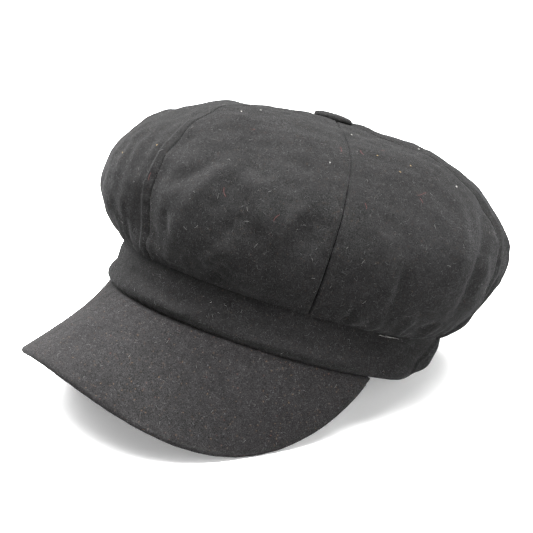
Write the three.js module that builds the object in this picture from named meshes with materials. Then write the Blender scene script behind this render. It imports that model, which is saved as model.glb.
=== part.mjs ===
// Newsboy cap: six-panel full crown on a head band, arched visor, covered button.
// Millimetres, +Z up. The cap stands as it rests on a table: front towards -Y and
// raised, carried by the rear of the head band and the two visor side edges.
// Pieces are laid out in the cap's own frame (z = 0 is the plane of the band's lower
// edge, z is the cap axis); the inner group leans that frame back by TILT.
// Azimuths are in degrees: 0 at the front, growing towards +X, 180 at the rear.
import * as THREE from 'three';

const { degToRad: rad, radToDeg, lerp } = THREE.MathUtils;
const point = (x, y, z) => new THREE.Vector3(x, y, z);

// ---- driving dimensions ----------------------------------------------------
const SIZE = 1.04;                      // size factor, also of the crown profile tables
const BAND_HALF_WIDTH = 91.875 * SIZE;  // outer face, side to side
const BAND_HALF_LENGTH = 89.729 * SIZE; // outer face, front to back
const BAND_CENTRE_HEIGHT = 30.922 * SIZE; // band centre over the table
const TILT = 20.19;
const ORIGIN_SHIFT = [0, 6.874, 0.406]; // brings the bounding box bottom centre to the origin
const STEP = 5;                         // angular facet of the band pieces
const FRONT_SEAM = 1.5;                 // azimuth of the front centre seam
const PANEL_COUNT = 6;
const PANEL_ANGLE = 360 / PANEL_COUNT;
const PANEL_GAP = 0.2;                  // half gap between neighbouring panels

// ---- materials -------------------------------------------------------------
const material = settings => new THREE.MeshStandardMaterial(settings);
const WOOL = material({ color: 0x1a1a1c, roughness: 0.95 });
const VISOR_WOOL = material({ color: 0x222223, roughness: 0.95 });
const LINING = material({ color: 0x141416, roughness: 0.45 });
const RIBBON = material({ color: 0x17171a, roughness: 0.7 });
const STIFFENER = material({ color: 0xb8b4aa, roughness: 0.9 });
const ELASTIC = material({ color: 0xd8d6d0, roughness: 0.8 });
const BOARD = material({ color: 0x2c2c2e, roughness: 0.5 });
const ALLOY = material({ color: 0xb9bcc0, roughness: 0.35, metalness: 1 });
const PLATE = material({ color: 0x262628, roughness: 0.5 });
const STEEL = material({ color: 0x9a9ca0, roughness: 0.3, metalness: 1 });
const THREAD = material({ color: 0x121212, roughness: 0.8 });
const LABEL = material({ color: 0xcfccc4, roughness: 0.7 });

// ---- mesh helpers ----------------------------------------------------------
// closed surface from points and triangle indices, turned to face outwards
function closedGeometry(points, indices) {
  let volume = 0;
  for (let i = 0; i < indices.length; i += 3) {
    const [a, b, c] = indices.slice(i, i + 3).map(index => points[index]);
    volume += a.dot(b.clone().cross(c));
  }
  if (volume < 0) {
    for (let i = 0; i < indices.length; i += 3) {
      [indices[i + 1], indices[i + 2]] = [indices[i + 2], indices[i + 1]];
    }
  }
  const geometry = new THREE.BufferGeometry().setFromPoints(points);
  geometry.setIndex(indices);
  geometry.computeVertexNormals();
  return geometry;
}

// a sheet between two grids of points [i][j], closed round its edges
function shell(outer, inner) {
  const rows = outer.length;
  const columns = outer[0].length;
  const lastRow = rows - 1;
  const lastColumn = columns - 1;
  const indices = [];
  const out = (i, j) => i * columns + j;
  const inn = (i, j) => rows * columns + out(i, j);
  const quad = (a, b, c, d) => indices.push(a, b, c, a, c, d);
  for (let i = 0; i < lastRow; i++) {
    for (let j = 0; j < lastColumn; j++) {
      quad(out(i, j), out(i + 1, j), out(i + 1, j + 1), out(i, j + 1));
      quad(inn(i, j), inn(i, j + 1), inn(i + 1, j + 1), inn(i + 1, j));
    }
  }
  for (let i = 0; i < lastRow; i++) {
    quad(out(i, 0), inn(i, 0), inn(i + 1, 0), out(i + 1, 0));
    quad(out(i, lastColumn), out(i + 1, lastColumn), inn(i + 1, lastColumn), inn(i, lastColumn));
  }
  for (let j = 0; j < lastColumn; j++) {
    quad(out(0, j), out(0, j + 1), inn(0, j + 1), inn(0, j));
    quad(out(lastRow, j), inn(lastRow, j), inn(lastRow, j + 1), out(lastRow, j + 1));
  }
  return closedGeometry([...outer.flat(), ...inner.flat()], indices);
}

// a ring of equal cross-sections joined end to end
function ring(sections) {
  const count = sections.length;
  const size = sections[0].length;
  const indices = [];
  for (let i = 0; i < count; i++) {
    for (let j = 0; j < size; j++) {
      const here = i * size;
      const next = ((i + 1) % count) * size;
      const j2 = (j + 1) % size;
      indices.push(here + j, next + j, next + j2, here + j, next + j2, here + j2);
    }
  }
  return closedGeometry(sections.flat(), indices);
}

// (radius, height) outline turned about the cap axis
function lathe(outline) {
  const geometry = new THREE.LatheGeometry(outline.map(p => new THREE.Vector2(...p)), 20);
  return geometry.rotateX(Math.PI / 2);
}

const polar = (azimuth, radius, z) =>
  point(radius * Math.sin(rad(azimuth)), -radius * Math.cos(rad(azimuth)), z);

// the band's outer face is an ellipse
const bandRadius = azimuth => 1 / Math.hypot(
  Math.sin(rad(azimuth)) / BAND_HALF_WIDTH, Math.cos(rad(azimuth)) / BAND_HALF_LENGTH);

const cap = new THREE.Group();
cap.rotation.x = -rad(TILT);
cap.position.set(ORIGIN_SHIFT[0], ORIGIN_SHIFT[1], ORIGIN_SHIFT[2] + BAND_CENTRE_HEIGHT);

function add(name, geometry, pieceMaterial) {
  const mesh = new THREE.Mesh(geometry, pieceMaterial);
  mesh.name = name;
  cap.add(mesh);
}

// ---- crown surface ---------------------------------------------------------
// (radius, height) from the top down, before SIZE; keys are degrees from the front seam
const SEAM_TABLES = {
  0: [
    [0, 115.3], [25, 115], [50, 112.6], [73, 108], [80, 102.4], [88.6, 94.7], [93.7, 86.2],
    [98, 78.8], [100.8, 70], [102.2, 62.3], [101.2, 55.2], [98.6, 46.5], [95.5, 38.8],
    [93.2, 30.8], [91.1, 23.3]],
  60: [
    [0, 115.3], [28, 114.2], [54, 109.8], [74, 103.2], [86, 96.2], [95, 88.3], [101.4, 80],
    [105, 72], [106.6, 63], [106, 54], [103.5, 44.5], [99.8, 36], [96, 29.6], [92.6, 23.2]],
  120: [
    [0, 115.3], [29, 115.6], [50, 114.9], [65, 112.4], [78, 107.2], [89, 100.2], [98, 93],
    [105.4, 86], [109, 79.5], [110.4, 71], [110.6, 61.7], [109, 50], [104, 37], [97.5, 27.1],
    [94, 22.6]],
  180: [
    [0, 115.3], [30, 115.6], [55, 113.4], [72, 108], [86, 100], [97, 91], [104, 82],
    [108, 72], [109, 62], [107.4, 50], [103.5, 38], [98.6, 28.4], [94, 22]],
};
const MIDDLE_TABLES = {
  30: [
    [0, 115.3], [30, 114.3], [58, 109.6], [78, 101.4], [90, 93], [98.6, 85.3], [104.2, 78.6],
    [108.2, 71], [110.2, 63], [110.8, 57.8], [110.2, 50.7], [108.8, 45.5], [106.6, 40.4],
    [103, 34.8], [98.9, 29.3], [92.8, 23]],
  90: [
    [0, 115.3], [30, 113.8], [58, 110.6], [76, 104.4], [90, 95.6], [100.6, 86.2],
    [107.8, 77], [111.6, 69], [112.6, 61], [111.8, 52], [109, 42.5], [105, 34],
    [100.3, 27.4], [94, 22.4]],
  150: [
    [0, 115.3], [30, 116.8], [50, 116.4], [62.6, 113.6], [76, 108.6], [87, 103.2], [96, 97],
    [104, 89.4], [110.4, 80.6], [112.4, 71.7], [112, 63], [108.6, 50.9], [105, 38.8],
    [100.9, 30], [97.2, 24.8], [94.2, 21.2]],
};
const PROFILE_POINTS = 33;
const FULLNESS_POWER = 2.3; // higher spreads the panel's fullness closer to the seams

// points at equal spacing along a table, brought to size
function resample(table) {
  const distance = [0];
  for (let i = 1; i < table.length; i++) {
    const [radius, z] = table[i];
    distance.push(distance[i - 1] + Math.hypot(radius - table[i - 1][0], z - table[i - 1][1]));
  }
  return Array.from({ length: PROFILE_POINTS }, (_, k) => {
    const target = distance.at(-1) * k / (PROFILE_POINTS - 1);
    let i = 1;
    while (i < distance.length - 1 && distance[i] < target) i++;
    const f = (target - distance[i - 1]) / (distance[i] - distance[i - 1]);
    return [0, 1].map(c => lerp(table[i - 1][c], table[i][c], f) * SIZE);
  });
}
// all round the cap; the second half mirrors the first
const SEAMS = [0, 60, 120, 180, 120, 60, 0].map(key => resample(SEAM_TABLES[key]));
const MIDDLES = [30, 90, 150, 150, 90, 30].map(key => resample(MIDDLE_TABLES[key]));

// seam profiles blended, with the panel's fullness between
function crownProfile(azimuth) {
  const turns = ((azimuth - FRONT_SEAM) % 360 + 360) % 360 / PANEL_ANGLE;
  const panel = Math.min(PANEL_COUNT - 1, Math.floor(turns + 1e-9));
  const across = turns - panel;
  const start = SEAMS[panel];
  const end = SEAMS[panel + 1];
  const middle = MIDDLES[panel];
  const fullness = 1 - Math.abs(2 * across - 1) ** FULLNESS_POWER;
  return start.map((p, i) => [0, 1].map(c =>
    lerp(p[c], end[i][c], across) + (middle[i][c] - (p[c] + end[i][c]) / 2) * fullness));
}

// profile points at given fractions of its length
function pickStations(profile, stations) {
  return stations.map(station => {
    const x = station * (PROFILE_POINTS - 1);
    const i = Math.min(PROFILE_POINTS - 2, Math.floor(x));
    return [0, 1].map(c => lerp(profile[i][c], profile[i + 1][c], x - i));
  });
}

// inward offset of a profile in its own radial plane, by a depth depending on radius
function offsetProfile(profile, depthAt) {
  return profile.map(([radius, z], i) => {
    const before = profile[Math.max(0, i - 1)];
    const after = profile[Math.min(profile.length - 1, i + 1)];
    const run = after[0] - before[0];
    const rise = after[1] - before[1];
    const length = Math.hypot(run, rise);
    const depth = depthAt(radius);
    return [radius + rise / length * depth, z - run / length * depth];
  });
}

// outer and inner grids of one panel, its two seam edges drawn back by PANEL_GAP;
// profilesAt(azimuth) gives the outer and inner profile
function panelGrids(panel, steps, profilesAt) {
  const grids = [[], []];
  for (let j = 0; j <= steps; j++) {
    const side = j === 0 ? 1 : j === steps ? -1 : 0;
    // the tiny nudge keeps a seam azimuth within its own panel
    const azimuth = FRONT_SEAM + PANEL_ANGLE * (panel + j / steps) + side * 1e-7;
    const place = ([radius, z]) => {
      const gapAngle = radToDeg(Math.asin(PANEL_GAP / Math.max(radius, 1)));
      return polar(azimuth + side * gapAngle, radius, z);
    };
    profilesAt(azimuth).forEach((profile, face) => grids[face].push(profile.map(place)));
  }
  return grids;
}

// ---- crown panels ----------------------------------------------------------
const PANEL_THICKNESS = 1.5;
const PANEL_STEPS = 6;
const PANEL_STATIONS = [0, 0.10, 0.22, 0.34, 0.44, 0.54, 0.64, 0.74, 0.83, 0.91, 0.96, 1];
const CROWN_HOLE_RADIUS = 4;
const CROWN_END_Z = 23.6;    // lower edge of the crown over the band
const CROWN_END_GAP = 1.95;  // from the band's outer face
const CROWN_TUCK = [2.2, 1.6]; // least radius and height of the fold beyond the lower edge

function crownPanelProfiles(azimuth) {
  const outer = pickStations(crownProfile(azimuth), PANEL_STATIONS);
  const last = outer.length - 1;
  const end = [bandRadius(azimuth) + CROWN_END_GAP, CROWN_END_Z];
  outer[0][0] = CROWN_HOLE_RADIUS;
  outer[last] = end;
  outer[last - 1] = outer[last - 1].map((value, c) => Math.max(value, end[c] + CROWN_TUCK[c]));
  const inner = offsetProfile(outer, () => PANEL_THICKNESS);
  inner[0] = [CROWN_HOLE_RADIUS, outer[0][1] - PANEL_THICKNESS];
  return [outer, inner];
}

function addCrownPanels() {
  for (let k = 0; k < PANEL_COUNT; k++) {
    const grids = panelGrids(k, PANEL_STEPS, crownPanelProfiles);
    add(`crown_panel_${k + 1}`, shell(...grids), WOOL);
  }
}

// ---- lining panels: hang below the crown, skirt runs down behind the band ----
const LINING_DEPTHS = [2.7, 3.2];     // skirt faces behind the band's outer face
const LINING_THICKNESS = LINING_DEPTHS[1] - LINING_DEPTHS[0];
const LINING_HOLE_RADIUS = 1.6;
const LINING_MIN_Z = 62 * SIZE;       // the crown is followed down to here
const LINING_CLEARANCE = 4;
const LINING_SAG = { depth: 7.2, spread: 45 }; // extra depth at the centre, fading outwards
const LINING_BEND = { inward: 0.45, down: 0.55, z: 44 }; // fractions of the way to the skirt
const SKIRT_Z = [43, 18];

function liningProfiles(azimuth) {
  const followed = crownProfile(azimuth).filter((p, i) => i % 3 === 0 && p[1] > LINING_MIN_Z);
  const hanging = offsetProfile(followed, radius =>
    LINING_CLEARANCE + LINING_SAG.depth * Math.exp(-((radius / LINING_SAG.spread) ** 2)));
  hanging[0] = [LINING_HOLE_RADIUS, followed[0][1] - LINING_CLEARANCE - LINING_SAG.depth];
  const [lowRadius, lowZ] = hanging.at(-1);
  const skirt = bandRadius(azimuth) - LINING_DEPTHS[0];
  const bend = [
    lerp(lowRadius, skirt, LINING_BEND.inward), lerp(lowZ, LINING_BEND.z, LINING_BEND.down)];
  const outer = [...hanging, bend, ...SKIRT_Z.map(z => [skirt, z])];
  const inner = offsetProfile(outer, () => LINING_THICKNESS);
  inner[0] = [LINING_HOLE_RADIUS, outer[0][1] - LINING_THICKNESS];
  inner.splice(-2, 2, ...SKIRT_Z.map(z => [skirt - LINING_THICKNESS, z]));
  return [outer, inner];
}

function addLiningPanels() {
  for (let k = 0; k < PANEL_COUNT; k++) {
    const grids = panelGrids(k, PANEL_ANGLE / STEP, liningProfiles);
    const shortest = Math.min(...grids[0].map(column => column.length));
    // longer columns lose their lowest points above the bend, so that all match
    for (const column of grids.flat()) {
      while (column.length > shortest) column.splice(-4, 1);
    }
    add(`lining_panel_${k + 1}`, shell(...grids), LINING);
  }
}

// ---- band, interlining, elastic, sweatband ---------------------------------
// depths are measured behind the band's outer face
const BAND_TOP = 26;
const CLOTH_DEPTHS = [0, 1.3];
const STIFF_DEPTHS = [1.6, 2.4]; // interlining and elastic
const SWEAT_DEPTHS = [3.5, 4.1];
const SWEAT_Z = [0.6, 30];
const REAR_START = 142;          // azimuth where the elasticated rear band begins
const FRONT_SPAN = [-REAR_START, REAR_START];
const REAR_SPAN = [REAR_START, 360 - REAR_START];
const CLOTH_END_GAP = 0.15;      // degrees left free at each end of a piece
const STIFF_END_GAP = 0.6;
const MIN_FACET = 0.5;

// azimuths from start to end, on the STEP grid between
function arc(start, end) {
  const stops = [start];
  const firstStep = Math.ceil((start + MIN_FACET - FRONT_SEAM) / STEP);
  for (let a = FRONT_SEAM + STEP * firstStep; a < end - MIN_FACET; a += STEP) stops.push(a);
  return [...stops, end];
}

// edge is the height left free below and above the piece
function bandPiece([start, end], endGap, depths, edge) {
  const azimuths = arc(start + endGap, end - endGap);
  return shell(...depths.map(depth => azimuths.map(azimuth =>
    [edge, BAND_TOP - edge].map(z => polar(azimuth, bandRadius(azimuth) - depth, z)))));
}

function sweatband() {
  const [outer, inner] = SWEAT_DEPTHS;
  const [bottom, top] = SWEAT_Z;
  const corners = [[outer, bottom], [outer, top], [inner, top], [inner, bottom]];
  return ring(Array.from({ length: 360 / STEP }, (_, i) => {
    const azimuth = FRONT_SEAM + STEP * i;
    return corners.map(([depth, z]) => polar(azimuth, bandRadius(azimuth) - depth, z));
  }));
}

function addBand() {
  add('band_front', bandPiece(FRONT_SPAN, CLOTH_END_GAP, CLOTH_DEPTHS, 0), WOOL);
  add('band_rear', bandPiece(REAR_SPAN, CLOTH_END_GAP, CLOTH_DEPTHS, 0), WOOL);
  add('band_interlining', bandPiece(FRONT_SPAN, STIFF_END_GAP, STIFF_DEPTHS, 2), STIFFENER);
  add('rear_elastic', bandPiece(REAR_SPAN, STIFF_END_GAP, STIFF_DEPTHS, 4), ELASTIC);
  add('sweatband', sweatband(), RIBBON);
}

// ---- visor: cloth over and under a moulded board, one arched surface --------
const VISOR_TIP = 88.99;         // azimuth where the visor length would reach zero
const VISOR_HALF = 87.2;         // azimuth where the pieces end
const VISOR_TURN = 1.1651;       // ruling direction per degree of azimuth
const VISOR_SLOPE = { front: 39.47, gain: 58.26, spread: 0.498 }; // degrees down; of VISOR_TIP
const VISOR_LENGTH = { front: 59.203 * SIZE, power: 3.80, taper: 0.70 };
const VISOR_GAP = 0.5;           // off the band's outer face
const VISOR_DROP = 0.6;          // root below the band edge at the front
const VISOR_ROOT_FALL = 0.0366445; // further root drop per mm towards the rear
const VISOR_STEPS = 26;
const VISOR_SPACING_POWER = 0.86;
const BOARD_SKIP = 2;            // steps the board stops short at each side
const BOARD_INSET = { most: 3.5, fraction: 0.2 };
const NORMAL_STEP = 0.5;

const visorRootDrop = azimuth =>
  VISOR_DROP + BAND_HALF_LENGTH * (1 - Math.cos(rad(azimuth))) * VISOR_ROOT_FALL;

// rulings leave the band edge, turn outwards and drop ever more steeply to the sides
function visorPoint(azimuth, distance) {
  const { front, gain, spread } = VISOR_SLOPE;
  const steepening = 1 - Math.exp(-((azimuth / VISOR_TIP / spread) ** 2));
  const slope = rad(Math.min(90, front + gain * steepening));
  const heading = rad(VISOR_TURN * azimuth);
  const reach = distance * Math.cos(slope);
  return point(
    (BAND_HALF_WIDTH + VISOR_GAP) * Math.sin(rad(azimuth)) + reach * Math.sin(heading),
    -(BAND_HALF_LENGTH + VISOR_GAP) * Math.cos(rad(azimuth)) - reach * Math.cos(heading),
    -visorRootDrop(azimuth) - distance * Math.sin(slope));
}

function visorLength(azimuth) {
  const { front, power, taper } = VISOR_LENGTH;
  const full = front * (1 - Math.abs(azimuth / VISOR_TIP) ** power) ** taper;
  return full - visorRootDrop(azimuth);
}

// unit normal on the upper side
function visorNormal(azimuth, distance) {
  const along = visorPoint(azimuth + NORMAL_STEP, distance)
    .sub(visorPoint(azimuth - NORMAL_STEP, distance));
  const outward = visorPoint(azimuth, distance + NORMAL_STEP)
    .sub(visorPoint(azimuth, distance - NORMAL_STEP));
  return outward.cross(along).normalize();
}

function visorLayer(depths, isBoard) {
  const skip = isBoard ? BOARD_SKIP : 0;
  const grids = depths.map(() => []);
  for (let i = skip; i <= VISOR_STEPS - skip; i++) {
    const s = -1 + 2 * i / VISOR_STEPS;
    const azimuth = VISOR_HALF * Math.sign(s) * Math.abs(s) ** VISOR_SPACING_POWER;
    const length = visorLength(azimuth);
    const inset = Math.min(BOARD_INSET.most, length * BOARD_INSET.fraction);
    const inside = [inset, length / 2, length - inset];
    const distances = isBoard ? inside : [0, ...inside, length];
    depths.forEach((depth, face) => grids[face].push(distances.map(distance =>
      visorPoint(azimuth, distance).addScaledVector(visorNormal(azimuth, distance), -depth))));
  }
  return shell(...grids);
}

function addVisor() {
  add('visor_top_cover', visorLayer([0, 1.2], false), VISOR_WOOL);
  add('visor_board', visorLayer([1.5, 2.7], true), BOARD);
  add('visor_under_cover', visorLayer([3.0, 4.2], false), VISOR_WOOL);
}

// ---- covered button, its wire loop and the tie inside the crown -------------
// outlines are (radius, height)
const COVER_OUTLINE = [
  [0, 124.5], [4.9, 124.2], [8.2, 123.4], [10.3, 122.6], [10.6, 122.2], [10.4, 121.9],
  [8.9, 121.75], [8.9, 121.0], [11.0, 121.3], [11.4, 122.1], [10.9, 122.9], [8.5, 124.1],
  [5, 124.9], [0, 125.2]];
const SHELL_OUTLINE = [
  [0, 123.7], [4.7, 123.4], [7.6, 122.6], [9.1, 122.05], [9.7, 122.05], [9.7, 122.3],
  [7.9, 123.1], [4.8, 123.9], [0, 124.2]];
const BACK_OUTLINE = [[0, 121.0], [8.5, 121.0], [8.5, 121.7], [0, 121.7]];
const STAY_OUTLINE = [[3.2, 116.6], [9, 116.6], [9, 117.6], [3.2, 117.6], [3.2, 116.6]];
const LOOP = { radius: 1.6, wireRadius: 0.5, legHeights: [120.7, 117.5, 115.6] };
const TIE = { radius: 3.0, threadRadius: 0.4, z: 112.8 };

// a U of wire, open at the top
function wireLoop() {
  const { radius, wireRadius, legHeights } = LOOP;
  const leg = x => legHeights.map(z => point(x, 0, z));
  const bend = [30, 60, 90, 120, 150].map(angle => point(
    -radius * Math.cos(rad(angle)), 0, legHeights.at(-1) - radius * Math.sin(rad(angle))));
  const path = [...leg(-radius), ...bend, ...leg(radius).reverse()];
  const section = new THREE.Shape();
  section.absarc(0, 0, wireRadius, 0, 2 * Math.PI, false);
  return new THREE.ExtrudeGeometry(section, {
    steps: 22,
    curveSegments: 4,
    bevelEnabled: false,
    extrudePath: new THREE.CatmullRomCurve3(path, false, 'centripetal'),
  });
}

function tieThread() {
  const geometry = new THREE.TorusGeometry(TIE.radius, TIE.threadRadius, 7, 20);
  return geometry.rotateY(Math.PI / 2).translate(0, 0, TIE.z);
}

function addButton() {
  add('button_cover', lathe(COVER_OUTLINE), WOOL);
  add('button_shell', lathe(SHELL_OUTLINE), ALLOY);
  add('button_back', lathe(BACK_OUTLINE), PLATE);
  add('button_wire_loop', wireLoop(), STEEL);
  add('button_tie_thread', tieThread(), THREAD);
  add('crown_stay', lathe(STAY_OUTLINE), LABEL);
}

// ---- blank labels: under the crown top, and inside the rear band ------------
function addLabel(name, size, centre) {
  add(name, new THREE.BoxGeometry(...size).translate(...centre), LABEL);
}

addCrownPanels();
addLiningPanels();
addBand();
addVisor();
addButton();
addLabel('lining_label', [50, 28, 0.4], [0, 0, 107.4]);
addLabel('size_label', [26, 0.4, 18], [0, BAND_HALF_LENGTH - 5.6, 17.5]);

const group = new THREE.Group();
group.add(cap);
export default group;
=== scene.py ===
# A six-panel wool cap with a curved visor, a covered button, a satin lining and a band that is
# elastic at the rear. Shapes are built in the cap frame: millimetres, z = 0 at the band's lower
# edge, z along the band's axis, front towards -y. Azimuths run in degrees from the front
# towards +x. to_scene() tilts the cap so its front rises, and gives metres.
import bpy
import math
import numpy as np
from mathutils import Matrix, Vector

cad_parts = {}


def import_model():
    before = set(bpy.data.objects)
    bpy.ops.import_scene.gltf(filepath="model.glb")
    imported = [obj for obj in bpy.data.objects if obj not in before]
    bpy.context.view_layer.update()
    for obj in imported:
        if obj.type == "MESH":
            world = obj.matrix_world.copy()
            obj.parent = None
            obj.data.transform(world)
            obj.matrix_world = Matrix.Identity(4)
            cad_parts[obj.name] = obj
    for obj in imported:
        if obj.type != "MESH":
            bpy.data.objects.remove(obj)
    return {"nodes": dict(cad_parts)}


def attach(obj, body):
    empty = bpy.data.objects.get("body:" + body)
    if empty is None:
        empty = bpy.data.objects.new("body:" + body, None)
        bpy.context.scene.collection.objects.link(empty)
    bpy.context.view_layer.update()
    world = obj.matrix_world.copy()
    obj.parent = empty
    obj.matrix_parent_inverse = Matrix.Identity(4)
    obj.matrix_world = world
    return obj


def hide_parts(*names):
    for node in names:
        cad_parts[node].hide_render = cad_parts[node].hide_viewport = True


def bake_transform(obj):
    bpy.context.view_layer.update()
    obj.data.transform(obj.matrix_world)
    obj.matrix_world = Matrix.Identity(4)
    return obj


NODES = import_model()["nodes"]
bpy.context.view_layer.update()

# ---------------------------------------------------------------- frame and main sizes
TAU = 2 * math.pi
SCALE = 1.04                                    # size of the cap relative to its outline tables
BAND_HALF_X, BAND_HALF_Y = 91.875 * SCALE, 89.729 * SCALE
TILT = math.radians(20.19)
BAND_LIFT = 30.922 * SCALE
SHIFT_Y, SHIFT_Z = 6.874, 0.406
RING = 93.0                                     # radius that turns azimuths into arc lengths
FIRST_SEAM = 1.5                                # azimuth of the front seam


def to_scene(points):
    """cap frame in mm to the scene in metres"""
    points = np.asarray(points, float)
    x, y, z = points[..., 0], points[..., 1], points[..., 2]
    cos, sin = math.cos(TILT), math.sin(TILT)
    return np.stack([x, cos * y + sin * z + SHIFT_Y,
                     -sin * y + cos * z + BAND_LIFT + SHIFT_Z], -1) / 1000.0


def scene_point(x, y, z):
    return tuple(float(v) for v in to_scene((x, y, z)))


# blends between two moving bodies: body, body, start, end
CROWN_PRESS = ("band", "crown", scene_point(0, 0, 30.0), scene_point(0, 0, 84.0))
VISOR_BEND = ("band", "visor", scene_point(0, -80.0, -4.0), scene_point(0, -124.0, -35.0))


def place(obj, motion, replaces=None):
    """motion is the body the object rides on; given one of the blends above, the object's
    transform is only applied and the blend itself is not used
    """
    if isinstance(motion, str):
        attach(obj, motion)
    else:
        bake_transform(obj)
    if replaces:
        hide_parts(replaces)


# ---------------------------------------------------------------- maths
def pairs(flat):
    return np.array(flat, float).reshape(-1, 2)


def smooth(start, end, x):
    """smooth step from 0 at start to 1 at end"""
    t = np.clip((x - start) / (end - start), 0, 1)
    return t * t * (3 - 2 * t)


def bell(x, width):
    return np.exp(-(x / width) ** 2)


def wave(x, pitch, phase=0.0):
    return np.sin(x * TAU / pitch + phase)


def unit(vectors):
    return vectors / np.maximum(np.linalg.norm(vectors, axis=-1, keepdims=True), 1e-9)


def pchip(x, y, at):
    """monotone cubic interpolation"""
    x, y = np.asarray(x, float), np.asarray(y, float)
    h = np.diff(x)
    d = np.diff(y) / h
    m = np.zeros_like(y)
    for i in range(1, len(x) - 1):
        if d[i - 1] * d[i] > 0:
            w1, w2 = 2 * h[i] + h[i - 1], h[i] + 2 * h[i - 1]
            m[i] = (w1 + w2) / (w1 / d[i - 1] + w2 / d[i])
    m[0], m[-1] = d[0], d[-1]
    k = np.clip(np.searchsorted(x, at) - 1, 0, len(h) - 1)
    t = (at - x[k]) / h[k]
    return ((1 + 2 * t) * (1 - t) ** 2 * y[k] + t * (1 - t) ** 2 * h[k] * m[k]
            + t * t * (3 - 2 * t) * y[k + 1] + t * t * (t - 1) * h[k] * m[k + 1])


def curve(table, at):
    """smooth curve through the (x, y) rows of a table"""
    return pchip(table[:, 0], table[:, 1], at)


def run_length(points):
    """length along a polyline up to each of its points"""
    return np.r_[0, np.cumsum(np.hypot.reduce(np.diff(points, axis=0), axis=1))]


def even_steps(points, count):
    """count points evenly spaced along a smooth 2D curve through the given ones"""
    run = run_length(points)
    share, steps = run / run[-1], np.linspace(0, 1, count)
    return np.stack([pchip(share, points[:, 0], steps), pchip(share, points[:, 1], steps)], 1)


def near_path(points, path):
    """distance of each point to a polyline, and where along it (0..1) the nearest place is"""
    best = np.full(points.shape[:-1], 1e9)
    along = np.zeros(points.shape[:-1])
    for i, (a, b) in enumerate(zip(path[:-1], path[1:])):
        step = b - a
        t = np.clip(((points - a) @ step) / (step @ step), 0, 1)
        distance = np.linalg.norm(points - (a + t[..., None] * step), axis=-1)
        nearer = distance < best
        best = np.where(nearer, distance, best)
        along = np.where(nearer, (i + t) / (len(path) - 1), along)
    return best, along


def noise3(points, size, seed, octaves=3):
    """smooth noise of about -1..1: seeded sums of sines in random directions"""
    rng = np.random.default_rng(seed)
    out = np.zeros(points.shape[:-1])
    amount, total = 1.0, 0.0
    frequency = TAU / size
    for _ in range(octaves):
        layer = np.zeros_like(out)
        for _ in range(5):
            d = rng.normal(size=3)
            d /= np.linalg.norm(d)
            layer += np.sin(frequency * rng.uniform(0.7, 1.4) * (points @ d)
                            + rng.uniform(0, 6.283))
        out += amount * layer / 2.6
        total += amount
        amount *= 0.55
        frequency *= 1.9
    return out / total


def band_r(phi):
    """radius of the band ellipse; phi in radians"""
    return 1.0 / np.hypot(np.sin(phi) / BAND_HALF_X, np.cos(phi) / BAND_HALF_Y)


def polar(phi, radius, z):
    return np.stack([radius * np.sin(phi), -radius * np.cos(phi), z + 0 * radius], -1)


def signed(azimuth):
    return (azimuth + 180) % 360 - 180


def tuck(points):
    """draws the band's lower edge in and up a little behind the temples"""
    points = np.asarray(points, float)
    x, y, z = points[..., 0], points[..., 1], points[..., 2]
    azimuth = np.abs(np.degrees(np.arctan2(x, -y)))
    zone = smooth(98.0, 120.0, azimuth) * smooth(170.0, 146.0, azimuth)
    low = np.clip(1 - z / 19.0, 0, 1.1)
    low = low * low * (1.6 - 0.6 * low)
    shrink = 1 - 5.2 * zone * low / np.maximum(np.hypot(x, y), 1e-6)
    return np.stack([x * shrink, y * shrink, z + 2.4 * zone * low], -1)


# ---------------------------------------------------------------- meshes
def make_object(name, points, faces, material=None, uv=None):
    """points in metres; faces is a list of index arrays, each with its own polygon size;
    uv holds one (u, v) in mm per point"""
    mesh = bpy.data.meshes.new(name)
    points = np.asarray(points, np.float32)
    mesh.vertices.add(len(points))
    mesh.vertices.foreach_set("co", points.ravel())
    corners = np.concatenate([f.ravel() for f in faces]).astype(np.int32)
    sizes = np.concatenate([np.full(len(f), f.shape[1], np.int32) for f in faces])
    starts = np.concatenate([[0], np.cumsum(sizes)[:-1]]).astype(np.int32)
    mesh.loops.add(len(corners))
    mesh.polygons.add(len(sizes))
    mesh.loops.foreach_set("vertex_index", corners)
    mesh.polygons.foreach_set("loop_start", starts)
    mesh.polygons.foreach_set("loop_total", sizes)
    mesh.polygons.foreach_set("use_smooth", np.full(len(sizes), True))
    mesh.update(calc_edges=True)
    mesh.validate()
    obj = bpy.data.objects.new(name, mesh)
    bpy.context.scene.collection.objects.link(obj)
    if material is not None:
        mesh.materials.append(material)
    if uv is not None:
        layer = mesh.uv_layers.new(name="mm")
        index = np.zeros(len(mesh.loops), np.int32)
        mesh.loops.foreach_get("vertex_index", index)
        layer.data.foreach_set("uv", uv[index].astype(np.float32).ravel())
    return obj


def solid(name, points, faces, material, uv=None):
    """closed mesh from cap frame points, its faces turned outward"""
    centred = points - points.mean(0)
    volume = 0.0
    for f in faces:
        a = centred[f[:, 0]]
        for k in range(1, f.shape[1] - 1):
            cross = np.cross(centred[f[:, k]], centred[f[:, k + 1]])
            volume += np.einsum("ij,ij->i", a, cross).sum()
    if volume < 0:
        faces = [f[:, ::-1] for f in faces]
    return make_object(name, to_scene(points), faces, material, uv)


def grid_quads(rows, columns, wrap_rows=False, wrap_columns=False):
    i, j = np.meshgrid(np.arange(rows if wrap_rows else rows - 1),
                       np.arange(columns if wrap_columns else columns - 1), indexing="ij")
    i2, j2 = (i + 1) % rows, (j + 1) % columns
    return np.stack([i * columns + j, i2 * columns + j, i2 * columns + j2, i * columns + j2],
                    -1).reshape(-1, 4)


def grid_normals(grid):
    return unit(np.cross(np.gradient(grid, axis=0), np.gradient(grid, axis=1)))


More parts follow.
